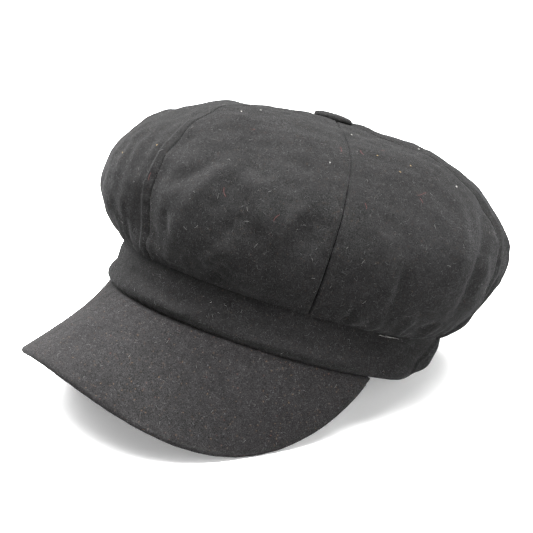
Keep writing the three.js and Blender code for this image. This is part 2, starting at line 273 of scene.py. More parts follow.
def outward_normals(grid, centre_z):
    normals = grid_normals(grid)
    facing = (normals * (grid - np.array([0, 0, centre_z]))).sum(-1).mean()
    return -normals if facing < 0 else normals


def grid_uv(u, v):
    return np.stack(np.broadcast_arrays(u, v), -1)


def shell(name, outer, inner, material, uv=None):
    """closed shell between two grids of the same size"""
    rows, columns = outer.shape[:2]
    count = rows * columns
    top = grid_quads(rows, columns)
    i, j = np.arange(rows - 1), np.arange(columns - 1)
    start, last = i * columns, (rows - 1) * columns + j
    end = start + columns - 1
    faces = np.concatenate([
        top, top[:, ::-1] + count,
        np.stack([start, start + count, start + columns + count, start + columns], 1),
        np.stack([end + columns, end + columns + count, end + count, end], 1),
        np.stack([j, j + 1, j + 1 + count, j + count], 1),
        np.stack([last + 1, last, last + count, last + 1 + count], 1)])
    if uv is not None:
        uv = np.concatenate([uv.reshape(-1, 2)] * 2)
    return solid(name, np.concatenate([outer.reshape(-1, 3), inner.reshape(-1, 3)]), [faces],
                 material, uv)


def band_sweep(name, first, last, count, section, material, closed=False):
    """sweeps a closed section round the band: section(azimuths) gives (count, points, 2)
    offsets from the band ellipse and heights; an open sweep has capped ends"""
    azimuths = np.linspace(first, last, count, endpoint=not closed)
    outline = section(azimuths)
    phi = np.radians(azimuths)[:, None]
    rings = tuck(polar(phi, band_r(phi) + outline[..., 0], outline[..., 1]))
    m = rings.shape[1]
    faces = [grid_quads(count, m, closed, True)]
    if not closed:
        cap = np.arange(m)[None, :]
        faces += [cap[:, ::-1], (count - 1) * m + cap]
    uv = grid_uv(phi * RING, run_length(outline[0])).reshape(-1, 2)
    return solid(name, rings.reshape(-1, 3), faces, material, uv)


def tubes(name, paths, radius, material, sides=5, tucked=False):
    """one object of capped tubes along polylines, thinner at both ends"""
    points, triangles, quads = [], [], []
    base = 0
    turn = np.arange(sides) * TAU / sides
    side = np.arange(sides)
    side2 = (side + 1) % sides
    for path in paths:
        path = np.asarray(path, float)
        count = len(path)
        tangent = unit(np.gradient(path, axis=0))
        upright = abs(tangent[0, 2]) >= 0.8
        across = unit(np.cross(tangent, np.array([1.0, 0, 0] if upright else [0, 0, 1.0])))
        other = np.cross(tangent, across)
        radii = np.full(count, radius)
        radii[[0, -1]] *= 0.6
        ring = path[:, None] + radii[:, None, None] * (
            np.cos(turn)[None, :, None] * across[:, None]
            + np.sin(turn)[None, :, None] * other[:, None])
        points += [ring.reshape(-1, 3), np.stack([path[0], path[-1]])]
        quads.append(grid_quads(count, sides, wrap_columns=True)[:, [0, 3, 2, 1]] + base)
        centre = base + count * sides
        end = centre - sides
        triangles.append(np.stack([np.full(sides, centre), base + side2, base + side], 1))
        triangles.append(np.stack([np.full(sides, centre + 1), end + side, end + side2], 1))
        base = centre + 2
    points = np.concatenate(points)
    if tucked:
        points = tuck(points)
    return solid(name, points, [np.concatenate(quads), np.concatenate(triangles)], material)


def lathe(name, contour, segments, material, displace):
    """closed (radius, z) contour revolved about z; it may start and end on the axis"""
    contour = pairs(contour)
    on_axis = contour[0, 0] < 1e-6
    ring = contour[1:-1] if on_axis else contour
    m = len(ring)
    turn = (np.arange(segments) * TAU / segments)[:, None]
    radius = np.broadcast_to(ring[:, 0], (segments, m))
    grid = np.stack([radius * np.cos(turn), radius * np.sin(turn), ring[:, 1] + 0 * radius], -1)
    points = displace(grid, turn, radius).reshape(-1, 3)
    faces = [grid_quads(segments, m, True, not on_axis)]
    if on_axis:
        points = np.vstack([points, [[0, 0, contour[0, 1]], [0, 0, contour[-1, 1]]]])
        first = np.arange(segments) * m
        following = (np.arange(segments) + 1) % segments * m
        pole = np.full(segments, segments * m)
        faces.append(np.stack([following, first, pole], 1))
        faces.append(np.stack([first + m - 1, following + m - 1, pole + 1], 1))
    return solid(name, points, faces, material)


# ---------------------------------------------------------------- shader nodes
def rgba(colour):
    """a grey level or an (r, g, b) colour as rgba"""
    return (*colour, 1.0) if isinstance(colour, tuple) else (colour, colour, colour, 1.0)


def scaled(colour, factor):
    return tuple(v * factor for v in colour)


class Shader:
    """adds nodes to the tree of a material or a world"""

    def __init__(self, owner):
        owner.use_nodes = True
        self.owner, self.tree = owner, owner.node_tree

    def feed(self, node, inputs):
        """links the inputs that are given a socket, sets the others"""
        for key, value in inputs.items():
            if isinstance(value, bpy.types.NodeSocket):
                self.tree.links.new(value, node.inputs[key])
            else:
                node.inputs[key].default_value = value

    def add(self, kind, inputs={}, **settings):
        node = self.tree.nodes.new("ShaderNode" + kind)
        for key, value in settings.items():
            setattr(node, key, value)
        self.feed(node, inputs)
        return node

    def surface(self, inputs):
        self.feed(self.tree.nodes["Principled BSDF"], inputs)
        return self.owner

    def coordinates(self, uv=False):
        """object coordinates in mm, or the mm UV map"""
        source = self.add("TexCoord").outputs["UV" if uv else "Object"]
        scale = (1, 1, 1) if uv else (1000.0, 1000.0, 1000.0)
        return self.add("Mapping", {"Scale": scale, "Vector": source}).outputs["Vector"]

    def noise(self, vector, scale, detail=3.0, roughness=0.55, distortion=0.0, output="Fac"):
        return self.add("TexNoise", {
            "Scale": scale, "Detail": detail, "Roughness": roughness,
            "Distortion": distortion, "Vector": vector}).outputs[output]

    def ramp(self, factor, stops):
        """stops: position -> grey or colour"""
        node = self.add("ValToRGB")
        elements = node.color_ramp.elements
        elements.remove(elements[-1])
        for i, (position, colour) in enumerate(stops.items()):
            element = elements.new(position) if i else elements[0]
            element.position, element.color = position, rgba(colour)
        self.feed(node, {"Fac": factor})
        return node.outputs["Color"]

    def mix(self, factor, a, b, blend="MIX"):
        return self.add("Mix", {0: factor, 6: a, 7: b}, data_type="RGBA", blend_type=blend,
                        clamp_factor=True).outputs[2]

    def multiply(self, a, b):
        return self.mix(1.0, a, b, "MULTIPLY")

    def math(self, operation, a, b):
        return self.add("Math", {0: a, 1: b}, operation=operation).outputs[0]

    def moved(self, vector, offset):
        return self.add("VectorMath", {0: vector, 1: offset}, operation="ADD").outputs[0]

    def warped(self, vector, scale, reach):
        """coordinates pushed about by noise"""
        push = self.noise(vector, scale=scale, detail=2.0, output="Color")
        return self.add("VectorMath", {0: push, 1: (reach, reach, reach), 2: vector},
                        operation="MULTIPLY_ADD").outputs[0]

    def bump(self, height, strength, distance):
        return self.add("Bump", {"Strength": strength, "Distance": distance,
                                 "Height": height}).outputs["Normal"]


def new_shader(name):
    return Shader(bpy.data.materials.new(name))


# ---------------------------------------------------------------- materials
def wool(name, dark, light, tint, flecks, pale, shift=None):
    """felted wool: mottled nap, tangled fibres, odd coloured flecks; flecks and pale are
    the strengths of the flecks and of the pale fibres"""
    sh = new_shader(name)
    vector = sh.coordinates()
    if shift:
        vector = sh.moved(vector, shift)
    fibres = sh.noise(vector, scale=0.95, detail=5.0, roughness=0.78, distortion=2.2)
    grain = sh.noise(vector, scale=2.1, detail=3.0, roughness=0.7, distortion=0.8)
    mottle = sh.noise(vector, scale=0.20, detail=3.0, roughness=0.6, distortion=0.6)
    cloud = sh.noise(vector, scale=0.030, detail=2.0, roughness=0.5)

    colour = sh.ramp(fibres, {0.36: scaled(tint, dark),
                              0.47: scaled(tint, dark * 0.55 + light * 0.45),
                              0.57: scaled(tint, light), 0.68: scaled(tint, light * 2.4)})
    for source, stops in ((grain, {0.40: 0.45, 0.61: 1.70}), (mottle, {0.38: 0.88, 0.62: 1.12}),
                          (cloud, {0.36: 0.92, 0.64: 1.08})):
        colour = sh.multiply(colour, sh.ramp(source, stops))

    # single pale fibres lying on the nap: cell scale, line width, offset, strength
    for scale, width, offset, strength in ((0.42, 0.016, 0.0, pale),
                                           (0.30, 0.010, 57.0, pale * 0.8)):
        place_ = sh.moved(sh.warped(vector, scale=0.55, reach=4.0), (offset, offset, offset))
        cells = sh.add("TexVoronoi", {"Scale": scale, "Vector": place_},
                       feature="DISTANCE_TO_EDGE")
        gate = sh.ramp(sh.noise(place_, scale=0.5, detail=1.0), {0.62: 0.0, 0.68: 1.0})
        line = sh.ramp(cells.outputs["Distance"], {0.0: 1.0, width: 0.0})
        amount = sh.math("MULTIPLY", sh.math("MULTIPLY", line, gate), strength)
        colour = sh.mix(amount, colour, rgba((0.13, 0.125, 0.12)))

    # flecks: a few of the cells, each with its own hue
    cells = sh.add("TexVoronoi", {"Scale": 0.80,
                                  "Vector": sh.warped(vector, scale=1.2, reach=1.6)},
                   feature="F1")
    near = sh.ramp(cells.outputs["Distance"], {0.08: 1.0, 0.36: 0.0})
    draw = sh.add("SeparateColor", {0: cells.outputs["Color"]})
    picked = sh.ramp(draw.outputs[0], {0.74: 0.0, 0.84: 1.0})
    hue = sh.ramp(draw.outputs[1], {
        0.0: (0.066, 0.040, 0.024), 0.35: (0.078, 0.050, 0.030), 0.6: (0.048, 0.048, 0.054),
        0.90: (0.060, 0.056, 0.052), 0.985: (0.075, 0.030, 0.024)})
    amount = sh.math("MULTIPLY", sh.math("MULTIPLY", near, picked), flecks)
    colour = sh.mix(amount, colour, hue)

    roughness = sh.ramp(fibres, {0.3: 0.98, 0.75: 0.86})
    # the nap catches light in tufts, not as an even veil
    tufts = sh.multiply(sh.ramp(fibres, {0.42: 0.15, 0.50: 0.8, 0.60: 2.6}),
                        sh.ramp(grain, {0.42: 0.3, 0.60: 1.9}))
    sheen = sh.math("MULTIPLY", tufts, 0.030)
    height = sh.math("ADD", fibres, sh.math("MULTIPLY", mottle, 0.8))
    return sh.surface({
        "Base Color": colour, "Roughness": roughness, "Specular IOR Level": 0.10,
        "Sheen Weight": sheen, "Sheen Roughness": 0.40,
        "Sheen Tint": rgba((0.75, 0.75, 0.78)),
        "Normal": sh.bump(height, strength=0.5, distance=0.00045)})


def satin(name, colour):
    """shiny lining with a fine diagonal weave"""
    sh = new_shader(name)
    vector = sh.coordinates()
    cloud = sh.noise(vector, scale=0.05, detail=3.0, roughness=0.5, distortion=0.3)
    weave = sh.add("TexWave", {"Scale": 1.6, "Distortion": 1.2, "Detail": 2.0,
                               "Vector": vector},
                   wave_type="BANDS", bands_direction="DIAGONAL").outputs["Fac"]
    tone = sh.ramp(cloud, {0.3: scaled(colour, 0.8), 0.7: scaled(colour, 1.35)})
    threads = sh.ramp(weave, {0.0: 0.8, 1.0: 1.2})
    return sh.surface({
        "Base Color": sh.multiply(tone, threads),
        "Roughness": sh.ramp(cloud, {0.3: 0.30, 0.7: 0.46}),
        "Anisotropic": 0.4, "Sheen Weight": 0.2,
        "Normal": sh.bump(weave, strength=0.25, distance=0.0001)})


def ribbon(name, colour, pitch):
    """ribs across a ribbon, from the mm UV map (u along, v across); pitch in mm"""
    sh = new_shader(name)
    ribs = sh.add("TexWave", {"Scale": 0.314 / pitch, "Distortion": 0.15,
                              "Vector": sh.coordinates(uv=True)},
                  wave_type="BANDS", bands_direction="X", wave_profile="SIN").outputs["Fac"]
    grain = sh.noise(sh.coordinates(), scale=0.9, detail=4.0, roughness=0.6)
    tone = sh.ramp(ribs, {0.0: scaled(colour, 0.55), 0.6: colour, 1.0: scaled(colour, 1.5)})
    shade = sh.ramp(grain, {0.3: 0.85, 0.7: 1.15})
    sh.surface({"Roughness": 0.62})             # mean of the grain that is linked in below
    return sh.surface({
        "Base Color": sh.multiply(tone, shade),
        "Roughness": sh.ramp(grain, {0.3: 0.55, 0.7: 0.72}),
        "Sheen Weight": 0.25,
        "Normal": sh.bump(ribs, strength=0.7, distance=0.00025)})


def plain(name, colour, roughness, metallic=0.0, scale=1.2, bump=0.15, stretch=None):
    """one colour with a grain of the given noise scale, stretched along an axis if asked"""
    sh = new_shader(name)
    vector = sh.coordinates()
    if stretch:
        vector = sh.add("Mapping", {"Scale": stretch, "Vector": vector}).outputs["Vector"]
    grain = sh.noise(vector, scale=scale, detail=5.0, roughness=0.6)
    cloud = sh.noise(vector, scale=scale * 0.12, detail=2.0, roughness=0.5)
    tone = sh.ramp(grain, {0.25: scaled(colour, 0.85), 0.75: scaled(colour, 1.15)})
    shade = sh.ramp(cloud, {0.3: 0.92, 0.7: 1.06})
    return sh.surface({
        "Base Color": sh.multiply(tone, shade),
        "Roughness": sh.ramp(grain, {0.2: roughness - 0.08, 0.8: min(1.0, roughness + 0.08)}),
        "Metallic": metallic, "Normal": sh.bump(grain, strength=bump, distance=0.0002)})


WOOL = wool("wool_melton", dark=0.0019, light=0.0090, tint=(0.995, 0.992, 0.985), flecks=0.22,
            pale=0.30)
VISOR_WOOL = wool("visor_wool", dark=0.0039, light=0.0136, tint=(1.025, 0.985, 0.995),
                  flecks=0.75, pale=0.15, shift=(31.0, 52.7, 18.6))
SATIN = satin("lining_satin", (0.014, 0.014, 0.017))
RIBBON = ribbon("ribbon", (0.02, 0.02, 0.023), pitch=1.1)
STIFFENER = plain("interlining", (0.55, 0.53, 0.48), roughness=0.9, scale=1.6, bump=0.4)
ELASTIC = plain("elastic", (0.68, 0.67, 0.64), roughness=0.75, scale=0.9, bump=0.5,
                stretch=(1, 1, 4))
BOARD = plain("board", (0.05, 0.05, 0.055), roughness=0.45, scale=0.5, bump=0.08)
ALLOY = plain("button_metal", (0.62, 0.63, 0.65), roughness=0.32, metallic=1.0, scale=0.8,
              bump=0.05, stretch=(1, 1, 6))
PLATE = plain("button_plate", (0.03, 0.03, 0.033), roughness=0.4, scale=0.6)
WIRE = plain("wire", (0.5, 0.51, 0.53), roughness=0.28, metallic=1.0, scale=1.0, bump=0.05,
             stretch=(1, 1, 0.2))
THREAD = plain("thread", (0.016, 0.016, 0.017), roughness=0.65, scale=3.0, bump=0.5)
FELT = plain("stay_felt", (0.42, 0.40, 0.37), roughness=0.95, scale=1.4, bump=0.7)
LABEL = ribbon("label_satin", (0.46, 0.445, 0.42), pitch=0.6)
LINT_PALE = plain("lint_pale", (0.46, 0.45, 0.43), roughness=0.9, scale=2.0)
LINT_RED = plain("lint_red", (0.11, 0.022, 0.020), roughness=0.9, scale=2.0)
LINT_OCHRE = plain("lint_ochre", (0.26, 0.19, 0.09), roughness=0.9, scale=2.0)

# ---------------------------------------------------------------- crown form
# Outlines from the top down to the band as radius, height pairs before SCALE, keyed by the
# azimuth from the front seam: along the seams, and along the middles of the panels.
SEAM_OUTLINES = {
    0: (0,115.3, 25,115.0, 50,112.6, 73,108, 80,102.4, 88.6,94.7, 93.7,86.2, 98,78.8,
        100.8,70, 102.2,62.3, 101.2,55.2, 98.6,46.5, 95.5,38.8, 93.2,30.8, 91.1,23.3),
    60: (0,115.3, 28,114.2, 54,109.8, 74,103.2, 86,96.2, 95,88.3, 101.4,80, 105,72,
         106.6,63, 106,54, 103.5,44.5, 99.8,36, 96,29.6, 92.6,23.2),
    120: (0,115.3, 29,115.6, 50,114.9, 65,112.4, 78,107.2, 89,100.2, 98,93, 105.4,86,
          109,79.5, 110.4,71, 110.6,61.7, 109,50, 104,37, 97.5,27.1, 94,22.6),
    180: (0,115.3, 30,115.6, 55,113.4, 72,108, 86,100, 97,91, 104,82, 108,72, 109,62,
          107.4,50, 103.5,38, 98.6,28.4, 94,22),
}
MIDDLE_OUTLINES = {
    30: (0,115.3, 30,114.3, 58,109.6, 78,101.4, 90,93.0, 98.6,85.3, 104.2,78.6, 108.2,71,
         110.2,63, 110.8,57.8, 110.2,50.7, 108.8,45.5, 106.6,40.4, 103,34.8, 98.9,29.3,
         92.8,23.0),
    90: (0,115.3, 30,113.8, 58,110.6, 76,104.4, 90,95.6, 100.6,86.2, 107.8,77, 111.6,69,
         112.6,61, 111.8,52, 109,42.5, 105,34, 100.3,27.4, 94,22.4),
    150: (0,115.3, 30,116.8, 50,116.2, 62.6,113.4, 76,108.4, 87,103.0, 96,96.8,
          103.6,89.2, 109.6,80.6, 111.4,71.7, 110.6,62, 106.6,50.3, 102.4,38.8, 98.9,30,
          96.2,24.8, 93.8,21.4),
}
OUTLINE_STEPS = 161
OUTLINE_SHARES = np.linspace(0, 1, OUTLINE_STEPS)


def faired_outline(table):
    """evenly spaced points along an outline, lightly faired"""
    out = even_steps(pairs(table) * SCALE, OUTLINE_STEPS)
    kernel = np.array([1, 2, 3, 2, 1.0])
    kernel /= kernel.sum()
    for _ in range(2):
        padded = np.vstack([2 * out[:1] - out[2:0:-1], out, 2 * out[-1:] - out[-2:-4:-1]])
        faired = np.stack([np.convolve(padded[:, c], kernel, "valid") for c in (0, 1)], 1)
        faired[0], faired[-1] = out[0], out[-1]
        out = faired
    return out


def both_sides(outlines):
    """outlines on the +x side, repeated on the -x side"""
    faired = {azimuth: faired_outline(table) for azimuth, table in outlines.items()}
    return {**faired, **{360 - azimuth: outline for azimuth, outline in faired.items()}}


SEAMS, MIDDLES = both_sides(SEAM_OUTLINES), both_sides(MIDDLE_OUTLINES)


def meridian(panel, u):
    """outline of the form at the share u across a panel"""
    a, b, middle = SEAMS[60 * panel], SEAMS[60 * panel + 60], MIDDLES[60 * panel + 30]
    bulge = 1 - abs(2 * u - 1) ** 2.3
    return a * (1 - u) + b * u + (middle - (a + b) / 2) * bulge


# Grid of a panel: shares of the way down, closer at the edge; shares across, closer at the seams
DOWN = np.concatenate([np.linspace(0.016, 0.992, OUTLINE_STEPS), [0.996, 0.9985, 0.9995, 1.0]])
_even = np.linspace(0, 1, 121)
ACROSS = _even - 0.70 * np.sin(TAU * _even) / TAU
# How the six seams wander: share of the way down, azimuth offset
SEAM_WANDER = [pairs(t) for t in (
    (0,0, 0.4,0.0, 0.55,0.6, 0.8,1.2, 1,0.6), (0,0, 0.3,1.0, 0.6,0.1, 0.8,-0.4, 1,0.0),
    (0,0, 0.4,0.6, 0.6,2.0, 0.75,-0.5, 1,-2.0), (0,0, 0.5,-0.8, 1,0.7),
    (0,0, 0.5,0.9, 1,-0.5), (0,0, 0.5,-0.7, 1,0.6))]


def seam_azimuth(seam, down):
    return FIRST_SEAM + 60.0 * seam + curve(SEAM_WANDER[seam % 6], down)


def panel_at(azimuth):
    """panel number and share across it"""
    turned = (azimuth - FIRST_SEAM) % 360
    panel = min(5, int(turned // 60))
    return panel, turned / 60 - panel


def crown_form(panel, across, down):
    """smooth form of a panel: points and azimuths over (across, down)"""
    outline = np.empty((len(across), len(down), 2))
    for i, u in enumerate(across):
        line = meridian(panel, u)
        for c in (0, 1):
            outline[i, :, c] = np.interp(down, OUTLINE_SHARES, line[:, c])
    u = across[:, None]
    azimuth = seam_azimuth(panel, down) * (1 - u) + seam_azimuth(panel + 1, down) * u
    phi = np.radians(azimuth)
    radius, z = outline[..., 0], outline[..., 1]
    # the lower edge runs in to the top of the band
    radius = radius + (band_r(phi) + 0.85 - radius[:, -1:]) * smooth(0.90, 1.0, down)
    return polar(phi, radius, z + 0.7 * smooth(0.955, 1.0, down)), azimuth


def form_point(azimuth, share):
    panel = panel_at(azimuth)[0]
    a, b = (float(seam_azimuth(s, np.array([share]))[0]) for s in (panel, panel + 1))
    while azimuth < a - 1e-6:
        azimuth += 360
    while azimuth > a + 61.9:
        azimuth -= 360
    u = min(1, max(0, (azimuth - a) / (b - a)))
    return crown_form(panel, np.array([u]), np.array([0.0, share, 1.0]))[0][0, 1]


# ---------------------------------------------------------------- crown folds
# Height and half width in mm, then azimuth, share of the way down for each place passed
FOLD_ROWS = (
    (-2.0, 5.5, 21.5,0.605, 19.0,0.660, 15.0,0.705, 9.5,0.735),
    (1.7, 5.0, 27.0,0.610, 25.0,0.670, 22.5,0.715, 21.0,0.755),
    (-1.7, 5.4, 31.0,0.640, 29.5,0.690, 29.0,0.725, 28.0,0.770),
    (3.4, 4.4, 34.0,0.640, 37.0,0.665, 39.5,0.705, 41.5,0.745, 43.0,0.775),
    (2.9, 4.6, 28.0,0.940, 31.0,0.895, 34.0,0.860, 37.0,0.825),
    (-3.2, 5.5, 30.5,0.990, 33.0,0.940, 35.0,0.900),
    (-1.3, 3.0, 34.0,0.785, 36.0,0.755),
    (-1.5, 4.3, 11.5,0.810, 13.0,0.840, 13.5,0.885),
    (-0.6, 2.6, -2.0,0.835, -4.0,0.890, -4.5,0.955),
    (-0.8, 3.2, -8.0,0.620, -6.0,0.660, -5.0,0.695),
    (-0.5, 3.4, -12.5,0.680, -11.5,0.720, -10.5,0.760),
    (0.5, 3.4, -10.0,0.665, -9.0,0.715, -7.5,0.770, -7.5,0.825),
    (-1.6, 4.0, 33.0,0.595, 37.5,0.615),
    (-2.2, 5.0, 41.0,0.510, 46.0,0.530, 50.5,0.555),
    (-1.3, 3.5, 44.0,0.620, 47.0,0.630),
    (0.6, 6.0, 34.0,0.515, 41.5,0.565, 43.5,0.645),
    (2.8, 3.8, 52.5,0.665, 50.5,0.690, 49.0,0.715, 48.5,0.745, 48.5,0.780, 49.5,0.815),
    (-2.6, 9.0, 55.5,0.715, 54.5,0.760),
    (-3.0, 3.6, 45.5,0.795, 46.5,0.845, 47.5,0.920),
    (1.2, 4.0, 49.5,0.835, 51.0,0.890, 53.0,0.940),
    (-2.0, 4.5, 74.5,0.615, 74.0,0.655, 73.5,0.690),
    (2.4, 3.8, 78.0,0.705, 78.0,0.750, 78.0,0.800, 78.5,0.845, 78.5,0.905),
    (-2.6, 4.0, 81.0,0.760, 81.5,0.805, 82.5,0.860, 83.0,0.930),
    (2.0, 3.4, 89.5,1.000, 89.5,0.945, 91.5,0.900),
    (-2.2, 2.0, 72.5,1.000, 73.0,0.955, 73.0,0.905),
    (1.2, 3.0, 76.0,1.000, 76.0,0.955, 75.5,0.900),
    (-3.2, 5.0, 121.5,0.535, 116.0,0.585, 111.0,0.640, 107.0,0.705, 105.5,0.775, 105.0,0.865),
    (1.6, 6.0, 103.0,0.565, 99.5,0.645, 97.0,0.720, 96.0,0.790),
    (-1.6, 3.5, 95.5,0.955, 98.5,0.925, 101.5,0.905),
    (1.6, 4.2, -6.0,0.950, 3.0,0.952, 12.0,0.955, 22.0,0.955),
    (1.2, 4.0, 40.0,0.955, 50.0,0.958, 59.0,0.96),
    (0.6, 2.8, -9.0,0.80, -10.5,0.905, -11.5,0.985),
    (0.7, 3.4, -12,0.56, -10.8,0.65, -10.6,0.72),
    (0.7, 3.2, -18,0.60, -15.5,0.69, -14.5,0.78),
    (-1.6, 5.0, 91,0.86, 93,0.92, 93,0.97),
)
FOLDS = [(row[0], row[1], pairs(row[2:])) for row in FOLD_ROWS]


def add_random_folds():
    """nine lower and two upper folds on each of panels 2 to 5; fewer and calmer on panel 5"""
    rng = np.random.default_rng(77)
    for panel in (2, 3, 4, 5):
        start, last = FIRST_SEAM + 60 * panel, panel == 5
        for j in range(9):
            u = (j + 0.5 + rng.uniform(-0.3, 0.3)) / 9
            azimuth = start + 60 * u
            if last and u > 0.66:
                continue
            share = rng.uniform(0.70, 0.93)
            length = rng.uniform(0.06, 0.17)
            drift = rng.uniform(-4, 4)
            sign, deeper = (1, 1.0) if j % 2 else (-1, 1.25)
            height = sign * rng.uniform(1.0, 2.6) * deeper * (0.35 if last else 1.0)
            width = rng.uniform(2.6, 5.2) * (1.25 if last else 1.0)
            FOLDS.append((height, width, pairs((
                azimuth - drift, share - length, azimuth, share,
                azimuth + drift * 0.4, min(0.985, share + length)))))
        for _ in range(2):
            azimuth = start + rng.uniform(12, 48)
            share = rng.uniform(0.5, 0.64)
            height = rng.choice([-1, 1]) * rng.uniform(1.0, 2.0)
            width = rng.uniform(5, 8)
            FOLDS.append((height, width, pairs((
                azimuth - 4, share - 0.05, azimuth, share, azimuth + 3, share + 0.07))))


add_random_folds()


def fold_field(points, panel):
    """height of the folds on a panel"""
    out = np.zeros(points.shape[:2])
    low, high = FIRST_SEAM + 60 * panel - 2.5, FIRST_SEAM + 60 * panel + 62.5
    for height, width, path in FOLDS:
        nearest = min((path[:, 0] - low) % 360 + low)
        if nearest > high and nearest - 360 < low - 3:      # the fold is on other panels
            continue
        distance, along = near_path(points, [form_point(a, s) for a, s in path])
        taper = 1.0
        if len(path) > 2:
            taper = np.clip(np.minimum(along, 1 - along) * 3.2 + 0.25, 0, 1)
        out += 0.88 * height * taper * bell(distance, width)
    return out


def seam_field(points, azimuth, down, panel):
    """crease at both seams of the panel, seam allowance beside it, sewing pucker"""
    out = np.zeros(points.shape[:2])
    radius = np.hypot(points[..., 0], points[..., 1])
    for side, seam in ((1, panel), (-1, panel + 1)):
        d = np.abs(np.radians(azimuth - seam_azimuth(seam, down))) * radius
        front = seam % 6 == 0
        crease, hollow = {0: (0.62, 0.0), 2: (1.6, 0.9)}.get(seam % 6, (1.35, 0.18))
        out -= crease * bell(d, 0.52) + hollow * bell(d, 3.4)
        if front:
            # the allowance pressed to one side lifts the cloth, its edge shows as a soft cord
            low = smooth(0.40, 0.62, down)
            x = d * side + 5.0
            cord = np.where(x < 0, bell(x, 1.25), bell(x, 3.2))
            out += low * (1.15 * bell(d, 4.6) + 0.85 * cord)
            if side < 0:
                out += 0.75 * low * bell(d - 10.5, 5.5)
        else:
            out += 0.22 * smooth(0.4, 0.6, down) * bell(d - 4.6, 2.2)
        pitch = 7.5 + 1.5 * math.sin(seam * 2.1)
        out += (0.22 * smooth(0.12, 0.3, down) * bell(d, 6.0) * (1 - bell(d, 1.2))
                * wave(points[..., 2] * 0.9 + radius * 0.7, pitch, seam))
    return out


def gather_field(azimuth, down):
    """small pleats taken up where the crown is sewn to the band, smoother above the front"""
    rng = np.random.default_rng(5)
    phi = np.radians(azimuth)
    pleats = sum(rng.uniform(0.5, 1) * np.sin(n * phi + rng.uniform(0, 6.28))
                 for n in (37, 53, 71, 89)) / 2.2
    zone = smooth(0.86, 0.97, down) * (1 - 0.6 * smooth(0.985, 1.0, down))
    x = signed(azimuth)
    return 0.75 * pleats * zone * (1 - 0.60 * smooth(-40, -15, x) * smooth(80, 55, x))


# ---------------------------------------------------------------- simulated crumple
SIM_AROUND, SIM_DOWN = 216, 66                  # vertices of the simulated cloth
SIM_FRAMES = 20
SIM_CAP = 3.5                                   # mm the cloth may move
CLOTH_SETTINGS = dict(
    quality=6, mass=0.25,
    tension_stiffness=18, compression_stiffness=18, shear_stiffness=6, bending_stiffness=0.35,
    vertex_group_mass="pin", pin_stiffness=0.7,
    use_pressure=True, uniform_pressure_force=1.2,
    vertex_group_shrink="full", shrink_min=0.0, shrink_max=-0.05)


def blur(x, around, down):
    """two box blurs; the cloth wraps round the first axis"""
    for _ in range(2):
        x = sum(np.roll(x, q, 0) for q in range(-around, around + 1)) / (2 * around + 1)
        padded = np.concatenate([x[:, :1].repeat(down, 1), x, x[:, -1:].repeat(down, 1)], 1)
        x = sum(padded[:, q:q + x.shape[1]] for q in range(2 * down + 1)) / (2 * down + 1)
    return x


def simulate_crown():
    """the whole crown as one cloth, held at the button and the band, with up to 5 % more
    cloth than the form; gives the displacement in mm over azimuth and share down"""
    down = np.linspace(0.016, 1.0, SIM_DOWN)
    fine = np.linspace(0.016, 1.0, OUTLINE_STEPS)
    picked = np.round(np.interp(down, fine, np.arange(OUTLINE_STEPS))).astype(int)
    per_panel = SIM_AROUND // 6
    form = np.concatenate([crown_form(k, np.arange(per_panel) / per_panel, fine)[0][:, picked]
                           for k in range(6)])
    # a slight unevenness lets the cloth start to buckle
    flat = form.reshape(-1, 3)
    start = flat / 1000.0 + (grid_normals(form).reshape(-1, 3)
                             * (0.0006 * noise3(flat, 22.0, 99, 2))[:, None])
    obj = make_object("sim_crown", start, [grid_quads(SIM_AROUND, SIM_DOWN, wrap_rows=True)])
    pin = obj.vertex_groups.new(name="pin")
    full = obj.vertex_groups.new(name="full")
    degrees = np.arange(SIM_AROUND) * 360.0 / SIM_AROUND
    off_seam = np.abs((degrees + 30) % 60 - 30)
    for a in range(SIM_AROUND):
        seam_hold = 0.10 + 0.35 * math.exp(-(off_seam[a] / 2.2) ** 2)
        slack = 1 - math.exp(-(off_seam[a] / 5.0) ** 2)
        for b in range(SIM_DOWN):
            held = b < 5 or b >= SIM_DOWN - 2
            index = [a * SIM_DOWN + b]
            pin.add(index, 1.0 if held else seam_hold, "REPLACE")
            full.add(index, slack * float(smooth(0.12, 0.35, down[b])), "REPLACE")
    cloth = obj.modifiers.new("cloth", "CLOTH")
    for key, value in CLOTH_SETTINGS.items():
        setattr(cloth.settings, key, value)
    cloth.settings.effector_weights.gravity = 0.0
    cloth.collision_settings.use_self_collision = False
    cloth.collision_settings.use_collision = False
    cloth.point_cache.frame_start, cloth.point_cache.frame_end = 1, SIM_FRAMES
    scene = bpy.context.scene
    for frame in range(1, SIM_FRAMES + 1):
        scene.frame_set(frame)
        bpy.context.view_layer.update()
    evaluated = obj.evaluated_get(bpy.context.evaluated_depsgraph_get())
    mesh = evaluated.to_mesh()
    moved = np.zeros(len(mesh.vertices) * 3, np.float32)
    mesh.vertices.foreach_get("co", moved)
    evaluated.to_mesh_clear()
    bpy.data.objects.remove(obj, do_unlink=True)
    scene.frame_set(1)

    shift = moved.reshape(SIM_AROUND, SIM_DOWN, 3) * 1000.0 - form
    shift = shift - blur(shift, 9, 6)           # keeps the folds, leaves the form alone
    length = np.linalg.norm(shift, axis=-1, keepdims=True)
    shift = shift * (np.tanh(length / SIM_CAP) * SIM_CAP / np.maximum(length, 1e-6))
    return down, shift


CRUMPLE = simulate_crown()


